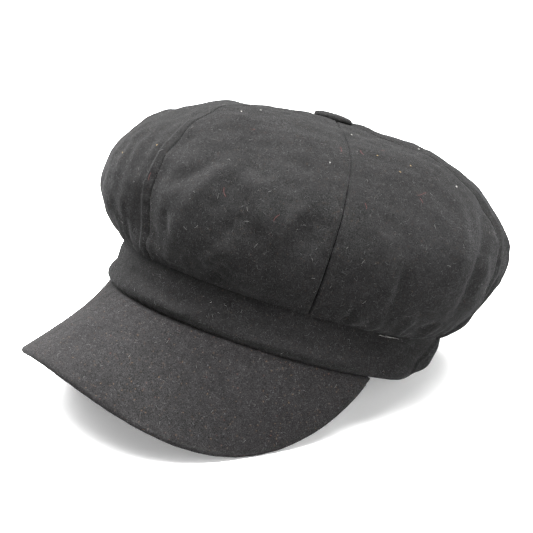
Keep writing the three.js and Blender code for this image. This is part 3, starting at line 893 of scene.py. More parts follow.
def crumple_field(azimuth, down):
    """simulated displacement, weaker at the front and lowest on the +x side"""
    if CRUMPLE is None:
        return 0.0
    shares, shift = CRUMPLE
    x = ((azimuth - FIRST_SEAM) % 360) / 360 * SIM_AROUND
    i = np.floor(x).astype(int)
    fx = (x - i)[..., None]
    i %= SIM_AROUND
    i2 = (i + 1) % SIM_AROUND
    y = np.interp(down, shares, np.arange(SIM_DOWN))
    j = np.clip(np.floor(y).astype(int), 0, SIM_DOWN - 2)
    fy = (y - j)[None, :, None]
    j = np.broadcast_to(j, azimuth.shape)
    side = signed(azimuth)
    calm = (smooth(58, 74, side) * smooth(142, 122, side) * smooth(0.80, 0.93, down))[..., None]
    front = (smooth(-60, -30, side) * smooth(135, 105, side))[..., None]
    weight = (0.95 - 0.55 * front) * (1 - 0.62 * calm)
    return weight * ((shift[i, j] * (1 - fx) + shift[i2, j] * fx) * (1 - fy)
                     + (shift[i, j + 1] * (1 - fx) + shift[i2, j + 1] * fx) * fy)


# ---------------------------------------------------------------- crown cloth
def open_seams(azimuth, half_gap, *grids):
    """moves the first and last columns of a panel in from its seams"""
    phi = np.radians(azimuth)
    tangent = np.stack([np.cos(phi), np.sin(phi), 0 * phi], -1)
    for grid in grids:
        grid[0] += tangent[0] * half_gap
        grid[-1] -= tangent[-1] * half_gap


def crown_panel(panel):
    """makes a panel; gives its outer grid, normals and azimuths"""
    form, azimuth = crown_form(panel, ACROSS, DOWN)
    normals = outward_normals(form, 60.0)
    edge = 1 - smooth(0.965, 1.0, DOWN)
    height = (fold_field(form, panel) * smooth(0.10, 0.3, DOWN)
              + 0.9 * noise3(form, 46.0, 11, 2) * smooth(0.08, 0.35, DOWN)
              + 0.28 * noise3(form, 15.0, 12, 2)) * edge
    height = height + seam_field(form, azimuth, DOWN, panel) + gather_field(azimuth, DOWN)
    # raised under the button and in a ring round it
    radius = np.hypot(form[..., 0], form[..., 1])
    height = (height + 0.80 * smooth(14.0, 9.0, radius)
              + 1.9 * smooth(10.9, 12.6, radius) * smooth(34.0, 13.0, radius))
    outer = form + normals * height[..., None]
    outer = outer + crumple_field(azimuth, DOWN) * edge[None, :, None]
    inner = outer - (1.4 - 0.65 * smooth(0.985, 1.0, DOWN))[None, :, None] * normals
    open_seams(azimuth, 0.05, outer, inner)
    obj = shell(f"crown_cloth_{panel + 1}", outer, inner, WOOL,
                grid_uv(np.radians(azimuth) * 100.0, DOWN * 190.0))
    place(obj, CROWN_PRESS, f"crown_panel_{panel + 1}")
    return outer, normals, azimuth


CROWN = [crown_panel(k) for k in range(6)]


def seam_allowance(seam):
    """allowances of the crown, opened flat inside behind a seam"""
    before, after = [-19, -16, -13, -10, -7, -5, -3, -2], [1, 2, 4, 6, 9, 12, 15, 18]
    length = slice(6, 158)
    (grid_a, normals_a, _), (grid_b, normals_b, _) = CROWN[seam - 1], CROWN[seam]
    grid = np.concatenate([grid_a[before][:, length], grid_b[after][:, length]])
    normals = np.concatenate([normals_a[before][:, length], normals_b[after][:, length]])
    wobble = 0.12 * noise3(grid, 9.0, 81 + seam, 2)
    # trimmed narrower at the top
    middle = (grid[7] + grid[8]) / 2
    keep = smooth(0.03, 0.10, DOWN[length])[None, :, None]
    grid = middle + (grid - middle) * (0.45 + 0.55 * keep)
    normals = unit(normals.mean(0) * 0.5 + normals * 0.5)
    obj = shell(f"seam_allowance_{seam + 1}", grid - normals * (1.75 + wobble)[..., None],
                grid - normals * (2.95 + wobble)[..., None], WOOL)
    place(obj, CROWN_PRESS)


for k in range(6):
    seam_allowance(k)

# ---------------------------------------------------------------- band cloth
BAND_TOP = 26.0
INNER_LEG = 11.0                                # height of the turned-in leg
# height, offset from the band ellipse
FRONT_OFFSETS = pairs((
    -1.0,-0.3, 0.3,0.5, 1.2,1.6, 2.4,2.6, 4.2,3.1, 6.6,2.7, 9.5,1.6, 13.0,0.5, 17.0,-0.1,
    21.0,-0.4, 24.0,-0.6, 27.0,-0.7))
REAR_OFFSETS = pairs((
    -1.0,-0.3, 0.3,0.2, 2.0,0.7, 4.6,0.9, 7.5,0.8, 12.0,0.55, 17.0,0.45, 21.0,0.3, 24.0,0.0,
    27.0,-0.3))
# height, azimuth of the slanted fold on the +x side
SIDE_CREASE = pairs((-1.0,109.8, 0.0,109.8, 5.2,110.2, 9.2,111.1, 13.1,114.2, 17.5,117.6,
                     23.8,124.9, 26.0,125.6))
# azimuth, height, slope, fold height, half width of the short slack diagonals
DIAGONALS = (
    (34, 15, 0.55, 0.55, 2.8), (21, 10, 0.7, -0.45, 2.4), (52, 12, 0.4, 0.4, 2.8),
    (66, 16, -0.5, -0.45, 3.0), (-30, 14, -0.6, 0.5, 2.8), (-55, 11, -0.4, -0.45, 2.5),
    (84, 12, 0.5, 0.4, 3.0), (98, 14, 0.6, -0.4, 3.0), (-88, 13, -0.5, 0.45, 3.0))
# long folds: fold height, half width, then azimuth, height of each place passed
LONG_FOLDS = (
    (-1.15, 2.9, -9.0,14.6, -5.6,13.6, 7.6,11.9, 17.6,10.5, 25.0,9.6),
    (0.85, 2.3, -18.0,7.5, 6.6,5.9, 21.0,4.9, 26.6,6.8, 32.8,12.2, 41.0,15.4),
    (-0.60, 2.6, 41.0,8.6, 50.0,9.6, 60.0,10.0, 70.0,9.4),
    (0.45, 2.6, 44.0,4.8, 56.0,4.6, 68.0,5.0, 80.0,5.2),
    (-0.70, 2.8, -52.0,12.5, -40.0,11.5, -27.0,12.5))


def visor_pucker(arc):
    """pucker along the seam between band and visor"""
    return wave(arc, 7.4, 1.3 * np.sin(arc / 17.0))


def band_outer(azimuth, z):
    """how far the front band cloth stands out from the band ellipse"""
    phi = np.radians(azimuth)
    arc, away = phi * RING, np.abs(azimuth)
    out = curve(FRONT_OFFSETS, z)
    out = np.where(out > 0, out * (1 - 0.55 * smooth(84, 104, away)), out)
    body = smooth(0.0, 4.0, z) * smooth(26.5, 20.0, z)
    out = out + 0.55 * noise3(polar(phi, RING, z), 34.0, 21) * body
    out = out + smooth(100, 84, away) * 0.22 * visor_pucker(arc) * bell(z, 4.5)
    for middle, height, slope, amount, width in DIAGONALS:
        x = np.radians(azimuth - middle) * RING
        out = out + amount * bell(z - height - slope * x, width) * bell(x, 13.0) * body
    for amount, width, *path in LONG_FOLDS:
        path = pairs(path)
        path[:, 0] = np.radians(path[:, 0]) * RING
        distance, along = near_path(np.stack([arc, z], -1), path)
        taper = np.clip(np.minimum(along, 1 - along) * 4 + 0.15, 0, 1)
        out = out + amount * taper * bell(distance, width) * body
    # the slanted fold on each side, and the hollow behind it: side, azimuth shift, strength
    for side, shift, strength in ((1, 0.0, 1.0), (-1, 3.5, 0.9)):
        x = np.radians(side * azimuth - np.interp(z, *SIDE_CREASE.T) - shift) * RING
        out = out + strength * smooth(1.5, 5.0, z) * (
            1.30 * bell(x + 1.2, 1.5) - 1.15 * smooth(-0.8, 3.6, x) * smooth(20.0, 8.0, x))
    return np.clip(out, -0.8, 4.5)


def rear_outer(azimuth, z):
    """the same for the rear, pleated by the elastic"""
    phi = np.radians(azimuth)
    arc = phi * RING
    phase = arc * TAU / 5.8 + 0.9 * np.sin(arc / 9.0) + 0.5 * np.sin(z / 6.0 + arc / 14.0)
    pleats = np.sin(phase) + 0.35 * np.sin(2.1 * phase + 1.0)
    ends = smooth(141.8, 150, azimuth) * smooth(218.2, 210, azimuth)
    body = smooth(-0.5, 3.0, z) * smooth(27.5, 21.0, z)
    out = (curve(REAR_OFFSETS, z) + 0.78 * pleats * ends * (0.35 + 0.65 * body)
           + 0.25 * noise3(polar(phi, RING, z), 17.0, 23, 2) * body)
    return np.clip(out, -0.8, 2.4)


# from the lower edge: turned edge, inner leg up and down, inside of the wall up to the top
BAND_INSIDE = pairs((
    -0.5,-0.02, -1.2,-0.08, -2.2,-0.06, -2.95,0.25, -3.32,1.1, -3.36,3.0,
    -3.36,INNER_LEG - 3, -3.36,INNER_LEG, -3.0,INNER_LEG + 0.3, -2.62,INNER_LEG,
    -2.6,INNER_LEG - 3, -2.6,2.8, -2.45,1.75, -2.0,1.35, -1.6,1.5, -1.38,2.4, -1.36,6.0,
    -1.36,12.0, -1.36,19.0, -1.36,BAND_TOP - 0.2, -1.0,BAND_TOP + 0.15))


def band_cloth(name, first, last, count, outer, replaces):
    """band cloth: outer wall, turned lower edge and a short inner leg"""
    heights = np.concatenate([np.linspace(BAND_TOP, 9.0, 13), np.linspace(7.9, 0.5, 9), [0.1]])

    def section(azimuths):
        azimuth, z = np.meshgrid(azimuths, heights, indexing="ij")
        wall = np.stack([outer(azimuth, z), z], -1)
        lift = 0.18 * np.sin(azimuths * 0.21 + 1.0) + 0.12 * np.sin(azimuths * 0.83)
        wall[:, -10:, 1] += np.clip(lift, 0, 1)[:, None] * np.linspace(0, 1, 10)
        inside = np.broadcast_to(BAND_INSIDE, (count, *BAND_INSIDE.shape))
        return np.concatenate([wall, inside], 1)

    place(band_sweep(name, first, last, count, section, WOOL), "band", replaces)


band_cloth("band_cloth_front", -141.85, 141.85, 400, band_outer, "band_front")
band_cloth("band_cloth_rear", 142.15, 217.85, 300, rear_outer, "band_rear")

# ---------------------------------------------------------------- visor
# The visor is ruled: straight lines leave the band's lower edge, fan out and drop, more
# steeply towards the sides.
VISOR_END = 88.99                               # azimuth where its length reaches zero
VISOR_FAN = 1.1651                              # direction of a line per degree of azimuth
DROP_FRONT, DROP_GAIN, DROP_MAX = 39.47, 58.26, 96.8    # degrees below the band's plane
DROP_WIDTH = 0.49806                            # share of VISOR_END over which the drop grows
VISOR_LENGTH = 59.203 * SCALE
LENGTH_INNER_POWER, LENGTH_OUTER_POWER = 3.7987, 0.7001
HALF_T = 2.1                                    # half thickness
VISOR_TOP_CLOTH, VISOR_UNDER_CLOTH = 1.15, 1.1
TOP_STEPS, UNDER_STEPS = 60, 48


def visor_point(azimuth, t):
    """point of the top face at the distance t from the band"""
    direction, phi = np.radians(VISOR_FAN * azimuth), np.radians(azimuth)
    drop = np.radians(np.minimum(DROP_MAX, DROP_FRONT + DROP_GAIN
                                 * (1 - bell(azimuth / VISOR_END, DROP_WIDTH))))
    x, y = (BAND_HALF_X + 0.5) * np.sin(phi), -(BAND_HALF_Y + 0.5) * np.cos(phi)
    return np.stack([x + t * np.sin(direction) * np.cos(drop),
                     y - t * np.cos(direction) * np.cos(drop),
                     -0.36 + 0 * phi - t * np.sin(drop)], -1)


def visor_length(azimuth):
    share = np.clip(1 - np.abs(azimuth / VISOR_END) ** LENGTH_INNER_POWER, 0, 1)
    return VISOR_LENGTH * share ** LENGTH_OUTER_POWER


def visor_normal(azimuth, t):
    along = visor_point(azimuth + 0.4, t) - visor_point(azimuth - 0.4, t)
    outward = visor_point(azimuth, t + 0.4) - visor_point(azimuth, t - 0.4)
    return unit(np.cross(outward, along))


def visor_columns(count, limit):
    """azimuths of the columns, spread mostly by length along the edge"""
    fine = np.linspace(-limit, limit, 4001)
    run = run_length(visor_point(fine, visor_length(fine)))
    spread = run / run[-1] * 0.8 + (fine + limit) / (2 * limit) * 0.2
    return np.interp(np.linspace(0, 1, count), spread, fine)


COLUMNS = visor_columns(301, 88.45)
COLUMN_ARC = np.radians(COLUMNS)[:, None] * RING
LENGTHS = visor_length(COLUMNS)
EDGE = visor_point(COLUMNS, LENGTHS)
EDGE_NORMAL = visor_normal(COLUMNS, LENGTHS * 0.97)
EDGE_OUT = unit(np.cross(unit(np.gradient(EDGE, axis=0)), EDGE_NORMAL))
_ruling = EDGE - visor_point(COLUMNS, LENGTHS - 1)
EDGE_OUT *= np.sign((EDGE_OUT * _ruling).sum(-1, keepdims=True))


def visor_layer(depth, inset, steps, root_z=None):
    """points, normals and distances from the band of a layer below the top face, ending
    inset from the edge; a layer with root_z starts below that height"""
    w = np.linspace(0, 1, steps) ** 0.9
    inset = np.minimum(inset, LENGTHS * 0.45)
    start = 0 * LENGTHS
    if root_z is not None:
        root = -0.36 - depth * visor_normal(COLUMNS, 0 * COLUMNS + 0.2)[:, 2]
        fall = (visor_point(COLUMNS, 0 * COLUMNS) - visor_point(COLUMNS, 0 * COLUMNS + 1))[:, 2]
        start = np.minimum(np.clip((root - root_z) / fall, 0, 9), (LENGTHS - inset) * 0.6)
    t = start[:, None] + w * (LENGTHS - inset - start)[:, None]
    azimuth = np.broadcast_to(COLUMNS[:, None], t.shape)
    points, normals = visor_point(azimuth, t), visor_normal(azimuth, t)
    # close to the edge the inset turns from the ruling to the edge normal
    correction = EDGE - EDGE_OUT * inset[:, None] - points[:, -1]
    points = points + correction[:, None, :] * (w[None, :, None] ** 3)
    return points - normals * depth, normals, t


def visor_top_face():
    """the top layer with its unevenness, a groove at the root and sewing pucker"""
    points, normals, t = visor_layer(0.0, HALF_T, TOP_STEPS)
    w = np.linspace(0, 1, TOP_STEPS) ** 0.9
    height = (0.3 * noise3(points, 38.0, 31) + 0.125 * noise3(points, 11.0, 33, 2)
              ) * smooth(0, 0.12, w)
    height = (height - 0.35 * bell(t, 1.3)
              + 0.175 * visor_pucker(COLUMN_ARC) * bell(t, 5.0) * (t > 0.4))
    return points + normals * height[..., None], normals


def visor_wrap(radius):
    """arc of cloth round the edge, from 12 degrees off the top to 152 degrees"""
    inset = np.minimum(HALF_T, LENGTHS * 0.45)[:, None]
    centre = EDGE - EDGE_OUT * inset - EDGE_NORMAL * HALF_T
    angle = np.linspace(math.radians(12), math.radians(152), 12)[None, :, None]
    return centre[:, None] + radius * (np.cos(angle) * EDGE_NORMAL[:, None]
                                       + np.sin(angle) * EDGE_OUT[:, None])


VISOR_FACE, VISOR_FACE_NORMALS = visor_top_face()
# the allowance turned in below the band: offset from the band ellipse, height
ROOT_OUTER = pairs((-4.5,0.28, -4.1,0.24, -3.6,-0.12, -3.2,-0.40, -2.2,-0.41, -1.0,-0.39,
                    0.1,-0.37))
ROOT_INNER = pairs((-4.6,-0.50, -4.2,-0.72, -3.7,-0.95, -3.2,-1.15, -2.6,-1.2, -1.9,-1.22,
                    -1.3,-1.24))


def visor_cover_top():
    inner, _, _ = visor_layer(VISOR_TOP_CLOTH, HALF_T, TOP_STEPS, root_z=-1.25)
    phi = np.radians(COLUMNS)[:, None]
    root_outer, root_inner = (polar(phi, band_r(phi) + table[:, 0], table[:, 1])
                              for table in (ROOT_OUTER, ROOT_INNER))
    join = np.array([0, 0, 0, 0, 0.1, 0.45, 0.8])[None, :, None]
    root_inner = root_inner * (1 - join) + inner[:, :1] * join
    wobble = 0.12 * noise3(EDGE, 9.0, 41, 2)
    wrap = visor_wrap(HALF_T) + wobble[:, None, None] * EDGE_OUT[:, None]
    outer = np.concatenate([root_outer, VISOR_FACE, wrap], 1)
    inner = np.concatenate([root_inner, inner, visor_wrap(HALF_T - VISOR_TOP_CLOTH)], 1)
    uv = grid_uv(COLUMN_ARC, run_length(outer[len(COLUMNS) // 2]))
    return shell("visor_cloth_top", outer, inner, VISOR_WOOL, uv)


def visor_cover_under():
    inset = HALF_T + 0.35
    outer, normals, t = visor_layer(2 * HALF_T, inset, UNDER_STEPS, root_z=-1.6)
    inner, _, _ = visor_layer(2 * HALF_T - VISOR_UNDER_CLOTH, inset, UNDER_STEPS, root_z=-1.6)
    w = np.linspace(0, 1, UNDER_STEPS)
    height = ((0.35 * noise3(outer, 36.0, 51) + 0.12 * noise3(outer, 12.0, 52, 2))
              * smooth(0, 0.15, w) + 0.35 * bell(w - 1, 0.035))
    outer = outer + normals * height[..., None]
    return shell("visor_cloth_under", outer, inner, VISOR_WOOL, grid_uv(COLUMN_ARC, t))


def visor_core():
    upper, lower = (visor_layer(depth, 4.6, 24, root_z=-1.7)[0][14:-14, 2:]
                    for depth in (1.45, 2.75))
    return shell("visor_core", upper, lower, BOARD)


place(visor_cover_top(), VISOR_BEND, "visor_top_cover")
place(visor_cover_under(), VISOR_BEND, "visor_under_cover")
place(visor_core(), VISOR_BEND, "visor_board")

# ---------------------------------------------------------------- lining
LINING_DOWN, LINING_ACROSS = 112, 61


def lining_outline(azimuth):
    """radius and height down the lining: inside the crown form, then close to the band"""
    form = meridian(*panel_at(azimuth))
    form = form[form[:, 1] > 66 * SCALE][::6]
    slope = np.gradient(form, axis=0)
    length = np.hypot(slope[:, 0], slope[:, 1])
    inset = 7.6 + 3.6 * bell(form[:, 0], 45)
    upper = np.stack([form[:, 0] + slope[:, 1] / length * inset,
                      form[:, 1] - slope[:, 0] / length * inset], 1)
    upper = upper[upper[:, 0] > 6]
    skirt = float(band_r(math.radians(azimuth))) - 2.72
    radius, z = upper[-1]
    between = [radius * 0.62 + skirt * 0.38 + 0.8, z * 0.60 + 47 * 0.40]
    return even_steps(np.vstack([[1.6, 108.72], upper, between, [skirt + 0.9, 49.0],
                                 [skirt, 42.0], [skirt, 30.0], [skirt, 18.0]]), LINING_DOWN)


def lining_panel(panel):
    u = np.linspace(0, 1, LINING_ACROSS)
    azimuths = FIRST_SEAM + 60 * panel + 60 * u
    outlines = np.stack([lining_outline(a) for a in azimuths])
    radius, z = outlines[..., 0], outlines[..., 1]
    form = polar(np.radians(azimuths)[:, None], radius, z)
    normals = outward_normals(form, 50.0)
    arc = np.radians(azimuths)[:, None] * RING
    free = smooth(40.0, 52.0, z) * smooth(4.0, 24.0, radius)      # where it hangs loose
    d = np.minimum(u, 1 - u)[:, None] * math.radians(60) * radius   # distance from the seam
    height = (
        0.9 * noise3(form, 42.0, 61 + panel) * free
        - 0.65 * bell(d, 1.2) * smooth(3, 10, radius) + 0.35 * bell(d - 3.2, 1.6) * free
        + wave(arc, 9.5, 1.2 * np.sin(arc / 13.0) + 2.0 * noise3(form, 60.0, 65, 1))
        * bell(z - 54.0, 11.0) * smooth(41, 50, z)
        + 0.14 * wave(arc, 6.3, np.sin(arc / 8.0)) * smooth(44, 38, z)
        + 0.5 * wave(z, 8.5, panel) * bell(d, 7.0) * (1 - bell(d, 1.6)) * free)
    outer = form + normals * np.minimum(height, 1.6)[..., None]
    inner = outer - 0.45 * normals
    open_seams(azimuths, 0.06, outer, inner)
    obj = shell(f"lining_cloth_{panel + 1}", outer, inner, SATIN,
                grid_uv(arc, np.linspace(0, 150, LINING_DOWN)))
    place(obj, CROWN_PRESS, f"lining_panel_{panel + 1}")


for k in range(6):
    lining_panel(k)


# ---------------------------------------------------------------- inside the band
def strip_section(outer, inner, heights):
    """closed section from grids of offsets and heights: up the outer side, down the inner"""
    return np.stack([np.concatenate([outer, inner[:, ::-1]], 1),
                     np.concatenate([heights, heights[:, ::-1]], 1)], -1)


def ribbon_section(azimuths):
    z = np.array([0.6, 0.9, 1.6, 3.0, 5, 8, 12, 16, 20, 24, 27, 29, 29.7, 30.0])
    arc = np.radians(azimuths)[:, None] * RING
    wobble = 0.10 * wave(arc, 21, np.sin(arc / 13.0)) + 0.06 * wave(arc, 8.3)
    inner = 4.12 - 0.10 * bell(z - 3.0, 0.7)    # depths, with a groove along the stitches
    outer = np.full(len(z), 3.55)
    inner[[0, -1]] = 3.95
    outer[[0, -1]] = 3.75
    body = np.sin(math.pi * np.clip((z - 2) / 27, 0, 1))
    heights = z + 0.12 * wave(arc, 27.0) * np.linspace(0, 1, len(z))
    return strip_section(-(outer + 0 * arc), -(inner + np.abs(wobble) * body * 1.6), heights)


def flat_section(bottom, top, outer, inner, rib, pitch):
    """flat strip between two depths, ribbed along the band at pitch"""
    def section(azimuths):
        share = np.linspace(0, 1, 15)
        z = np.linspace(bottom, top, 15)
        arc = np.radians(azimuths)[:, None] * RING
        ribs = rib * (0.5 + 0.5 * wave(arc, pitch)) * np.sin(math.pi * share) ** 0.5
        rows = rib * (0.5 + 0.5 * wave(z, 2.2)) * 0.6
        return strip_section(-(outer + ribs * 0.6 + rows * 0.4), -(inner - ribs * 0.3),
                             np.broadcast_to(z, ribs.shape))
    return section


place(band_sweep("sweatband_ribbon", 0, 360, 480, ribbon_section, RIBBON, closed=True),
      "band", "sweatband")
place(band_sweep("stiffener_strip", -141.4, 141.4, 240,
                 flat_section(bottom=2.3, top=24.0, outer=1.68, inner=2.32, rib=0.08, pitch=2.0),
                 STIFFENER), "band", "band_interlining")
place(band_sweep("elastic_strip", 142.6, 217.4, 260,
                 flat_section(bottom=4.0, top=22.0, outer=1.62, inner=2.38, rib=0.2, pitch=2.6),
                 ELASTIC), "band", "rear_elastic")


def stitch(start, end, outward, lift):
    """one thread stitch between two needle points, ends sunk"""
    t = np.linspace(0, 1, 7)[:, None]
    return (np.asarray(start) * (1 - t) + np.asarray(end) * t
            + np.asarray(outward) * (lift * np.sin(np.pi * t) ** 0.6 - 0.05))


def sweatband_stitching():
    """a row of stitches along the lower edge of the sweatband"""
    height, depth, pitch, length, radius = 3.0, 4.10, 3.3, 2.1, 89.0
    paths = []
    count = int(TAU * radius / pitch)
    for i in range(count):
        a = TAU * i / count
        phi = np.array([a, a + length / radius])
        ends = polar(phi, band_r(phi) - depth, height + 0.12 * math.sin(i * 1.7))
        paths.append(stitch(ends[0], ends[1], (-math.sin(a), math.cos(a), 0.0), lift=0.22))
    place(tubes("sweatband_stitching", paths, 0.16, THREAD, tucked=True), "band")


sweatband_stitching()


# ---------------------------------------------------------------- labels, both blank
def soft_card(name, width, height, columns, rows, surface, normal, thickness):
    """thin ribbon label, thinner at its edges: surface(x, y) gives its middle points"""
    x, y = np.meshgrid(np.linspace(-width / 2, width / 2, columns),
                       np.linspace(-height / 2, height / 2, rows), indexing="ij")
    from_edge = np.minimum(width / 2 - np.abs(x), height / 2 - np.abs(y))
    thick = thickness * (0.45 + 0.55 * np.clip(from_edge / 0.8, 0, 1) ** 0.5)
    half = np.array(normal, float) * thick[..., None] / 2
    middle = surface(x, y)
    return shell(name, middle + half, middle - half, LABEL, grid_uv(x + width, y + height))


def label_z(x):
    """height of the lining label, sagging towards both ends"""
    return 107.35 - 0.22 * (np.abs(x) / 25) ** 2


def lining_label():
    card = soft_card(
        "lining_label_cloth", 50, 28, 51, 31,
        lambda x, y: np.stack([x, y, label_z(x) + 0.10 * np.sin(x / 9.0) * np.cos(y / 7.0)], -1),
        (0, 0, 1), 0.42)
    place(card, CROWN_PRESS, "lining_label")
    pitch, length = 2.9, 1.8
    starts = [(x, y, length, 0) for x in np.arange(-23.5, 23.0, pitch) for y in (-12.8, 12.8)]
    starts += [(x, y, 0, length) for y in np.arange(-11.8, 11.0, pitch) for x in (-23.9, 23.9)]
    paths = []
    for x, y, dx, dy in starts:
        z = label_z(x) - 0.24
        paths.append(stitch((x, y, z), (x + dx, y + dy, z), (0, 0, -1), lift=0.14))
    place(tubes("lining_label_stitching", paths, 0.13, THREAD), CROWN_PRESS)


def size_tab():
    """tab inside the rear of the band, sewn along its top edge, leaning in below"""
    back = BAND_HALF_Y - 5.6

    def surface(x, y):
        t = (9 - y) / 18.0
        lean = (-0.9 * t ** 2 - 0.35 * np.cos(x / 26 * math.pi) * t
                + 0.12 * np.sin(x / 3.1 + 1) * t)
        return np.stack([x + 0.15 * np.sin(y / 3), back + lean, 17.5 + y], -1)

    place(soft_card("size_tab_cloth", 26, 17.8, 41, 31, surface, (0, 1, 0), 0.40),
          "size_tab", "size_label")
    y, z = back - 0.22, 25.4
    paths = [stitch((x, y, z), (x + 1.6, y, z), (0, -1, 0), lift=0.12)
             for x in np.arange(-12.2, 11.6, 2.6)]
    place(tubes("size_tab_stitching", paths, 0.12, THREAD), "size_tab")


lining_label()
size_tab()

# ---------------------------------------------------------------- button cover and stay
# radius, height; the underside of the cloth from the axis out, then its top back to the axis
BUTTON_COVER = (
    0,124.46, 2.5,124.40, 4.9,124.16, 7.0,123.75, 8.6,123.25, 9.8,122.72, 10.35,122.35,
    10.42,122.1, 10.1,121.95, 9.2,121.85, 8.95,121.7, 8.95,121.25, 9.1,121.05, 9.8,121.05,
    10.35,121.15, 10.75,121.4, 10.95,121.8, 11.0,122.3, 10.92,122.85, 10.65,123.35,
    10.15,123.75, 9.3,124.08, 8.2,124.32, 6.8,124.55, 5,124.76, 2.6,124.89, 0,124.92)
STAY = (3.3,116.75, 5,116.65, 7,116.65, 8.6,116.7, 8.95,117.0, 8.9,117.35, 8.4,117.55,
        6,117.58, 3.8,117.55, 3.3,117.3)


def pushed(grid, turn, outward, upward):
    """a lathe grid moved away from the axis and up"""
    return grid + np.stack(np.broadcast_arrays(np.cos(turn) * outward, np.sin(turn) * outward,
                                               upward), -1)


def cloth_pull(grid, turn, radius):
    """cloth drawn over the rim in small pleats, stronger underneath"""
    pleats = 0.10 * np.sin(14 * turn + 0.7 * np.sin(3 * turn)) + 0.06 * np.sin(23 * turn + 1)
    under = grid[..., 2] < 122.0
    outward = smooth(7.0, 11.0, radius) * pleats * np.where(under, 1.6, 0.7)
    return pushed(grid, turn, outward,
                  0.10 * noise3(grid, 9.0, 71, 2) * (~under) * smooth(11.3, 9.5, radius))


def stay_wobble(grid, turn, radius):
    return pushed(grid, turn, 0.12 * np.sin(9 * turn) + 0.08 * np.sin(17 * turn + 2),
                  0.06 * noise3(grid, 5.0, 72, 2))


place(lathe("button_cloth", BUTTON_COVER, 120, WOOL, cloth_pull),
      "button", "button_cover")
place(lathe("stay_disc", STAY, 90, FELT, stay_wobble), "crown", "crown_stay")

# CAD parts that keep their own shape
for node, material, slot in (("button_shell", ALLOY, "button_metal"),
                             ("button_back", PLATE, "button_plate"),
                             ("button_wire_loop", WIRE, "wire"),
                             ("button_tie_thread", THREAD, "thread")):
    part = NODES[node]
    part.data.materials.clear()
    part.data.materials.append(material)

# ---------------------------------------------------------------- nap
NAP = plain("wool_fibre", (0.050, 0.049, 0.050), roughness=0.9, scale=2.0)
NAP_PALE = plain("wool_fibre_pale", (0.16, 0.155, 0.15), roughness=0.9, scale=2.0)
NAP_RADIUS, PALE_RADIUS = 0.030, 0.036


def random_tangent(normal, rng):
    return unit(np.cross(normal, rng.normal(size=3)))


def random_fibre(root, normal, rng, length, lift, steps):
    """a fibre that leaves its root sideways, lifted and curled; length and lift are ranges"""
    tangent = random_tangent(normal, rng)
    length, lift, curl = rng.uniform(*length), rng.uniform(*lift), rng.uniform(-0.6, 0.6)
    x = np.linspace(0, 1, steps)[:, None]
    rise = (0.12 + lift * np.sin(math.pi * np.minimum(x * 0.75, 1))) * np.minimum(x * 4, 1)
    return (root - normal * 0.12 + tangent * (length * x) + normal * rise
            + np.cross(normal, tangent) * (curl * length * x * x))


def nap(grid, normals, count, seed, length, lift, skip=0, steps=4):
    """fibres scattered evenly over a grid, skipping its first columns and the last two"""
    rng = np.random.default_rng(seed)
    area = np.linalg.norm(np.cross(grid[1:, :-1] - grid[:-1, :-1],
                                   grid[:-1, 1:] - grid[:-1, :-1]), axis=-1)
    if skip:
        area[:, :skip] = 0
        area[:, -2:] = 0
    out = []
    for cell in rng.choice(area.size, count, p=(area / area.sum()).ravel()):
        i, j = divmod(int(cell), area.shape[1])
        a, b = rng.uniform(0, 1, 2)
        root = (grid[i, j] * (1 - a) * (1 - b) + grid[i + 1, j] * a * (1 - b)
                + grid[i, j + 1] * (1 - a) * b + grid[i + 1, j + 1] * a * b)
        out.append(random_fibre(root, normals[i, j], rng, length, lift, steps))
    return out


def crown_nap():
    dark, pale = [], []
    for k, (grid, form_normals, _) in enumerate(CROWN):
        normals = grid_normals(grid)
        normals = normals * np.sign((normals * form_normals).sum(-1, keepdims=True))
        dark += nap(grid, normals, 950, 300 + k, length=(0.9, 2.4), lift=(0.25, 0.75), skip=12)
        pale += nap(grid, normals, 34, 400 + k, length=(1.2, 3.4), lift=(0.10, 0.40), skip=12,
                    steps=5)
    place(tubes("crown_nap", dark, NAP_RADIUS, NAP, sides=3), CROWN_PRESS)
    place(tubes("crown_pale_fibres", pale, PALE_RADIUS, NAP_PALE, sides=4), CROWN_PRESS)


def band_nap():
    """fibres on the outer wall of the band; every 24th is pale"""
    dark, pale = [], []
    rng = np.random.default_rng(515)
    for i in range(1500):
        azimuth = rng.uniform(-180, 180)
        z = rng.uniform(1.2, 21.0)
        rear = 142.2 < azimuth % 360 < 217.8
        wall = rear_outer if rear else band_outer
        at = azimuth % 360 if rear else azimuth
        offset = float(wall(np.array([at]), np.array([z]))[0])
        phi = math.radians(azimuth)
        root = polar(phi, band_r(phi) + offset, z)
        normal = np.array([math.sin(phi), -math.cos(phi), 0.0])
        (dark if i % 24 else pale).append(
            random_fibre(root, normal, rng, length=(0.9, 2.2), lift=(0.2, 0.6), steps=4))
    place(tubes("band_nap", dark, NAP_RADIUS, NAP, sides=3, tucked=True), "band")
    place(tubes("band_pale_fibres", pale, PALE_RADIUS, NAP_PALE, sides=4, tucked=True), "band")


def visor_nap():
    face, normals = VISOR_FACE, VISOR_FACE_NORMALS
    dark = nap(face, normals, 900, 601, length=(0.9, 2.2), lift=(0.2, 0.6), skip=3)
    pale = nap(face, normals, 46, 602, length=(1.0, 2.6), lift=(0.1, 0.3), skip=3, steps=5)
    wrap = visor_wrap(HALF_T)
    normals = grid_normals(wrap)
    normals = normals * np.sign((normals * EDGE_OUT[:, None]).sum(-1, keepdims=True))
    dark += nap(wrap, normals, 420, 603, length=(0.8, 1.9), lift=(0.3, 0.8))
    place(tubes("visor_nap", dark, NAP_RADIUS, NAP, sides=3), VISOR_BEND)
    place(tubes("visor_pale_fibres", pale, PALE_RADIUS, NAP_PALE, sides=3), VISOR_BEND)


crown_nap()
band_nap()
visor_nap()

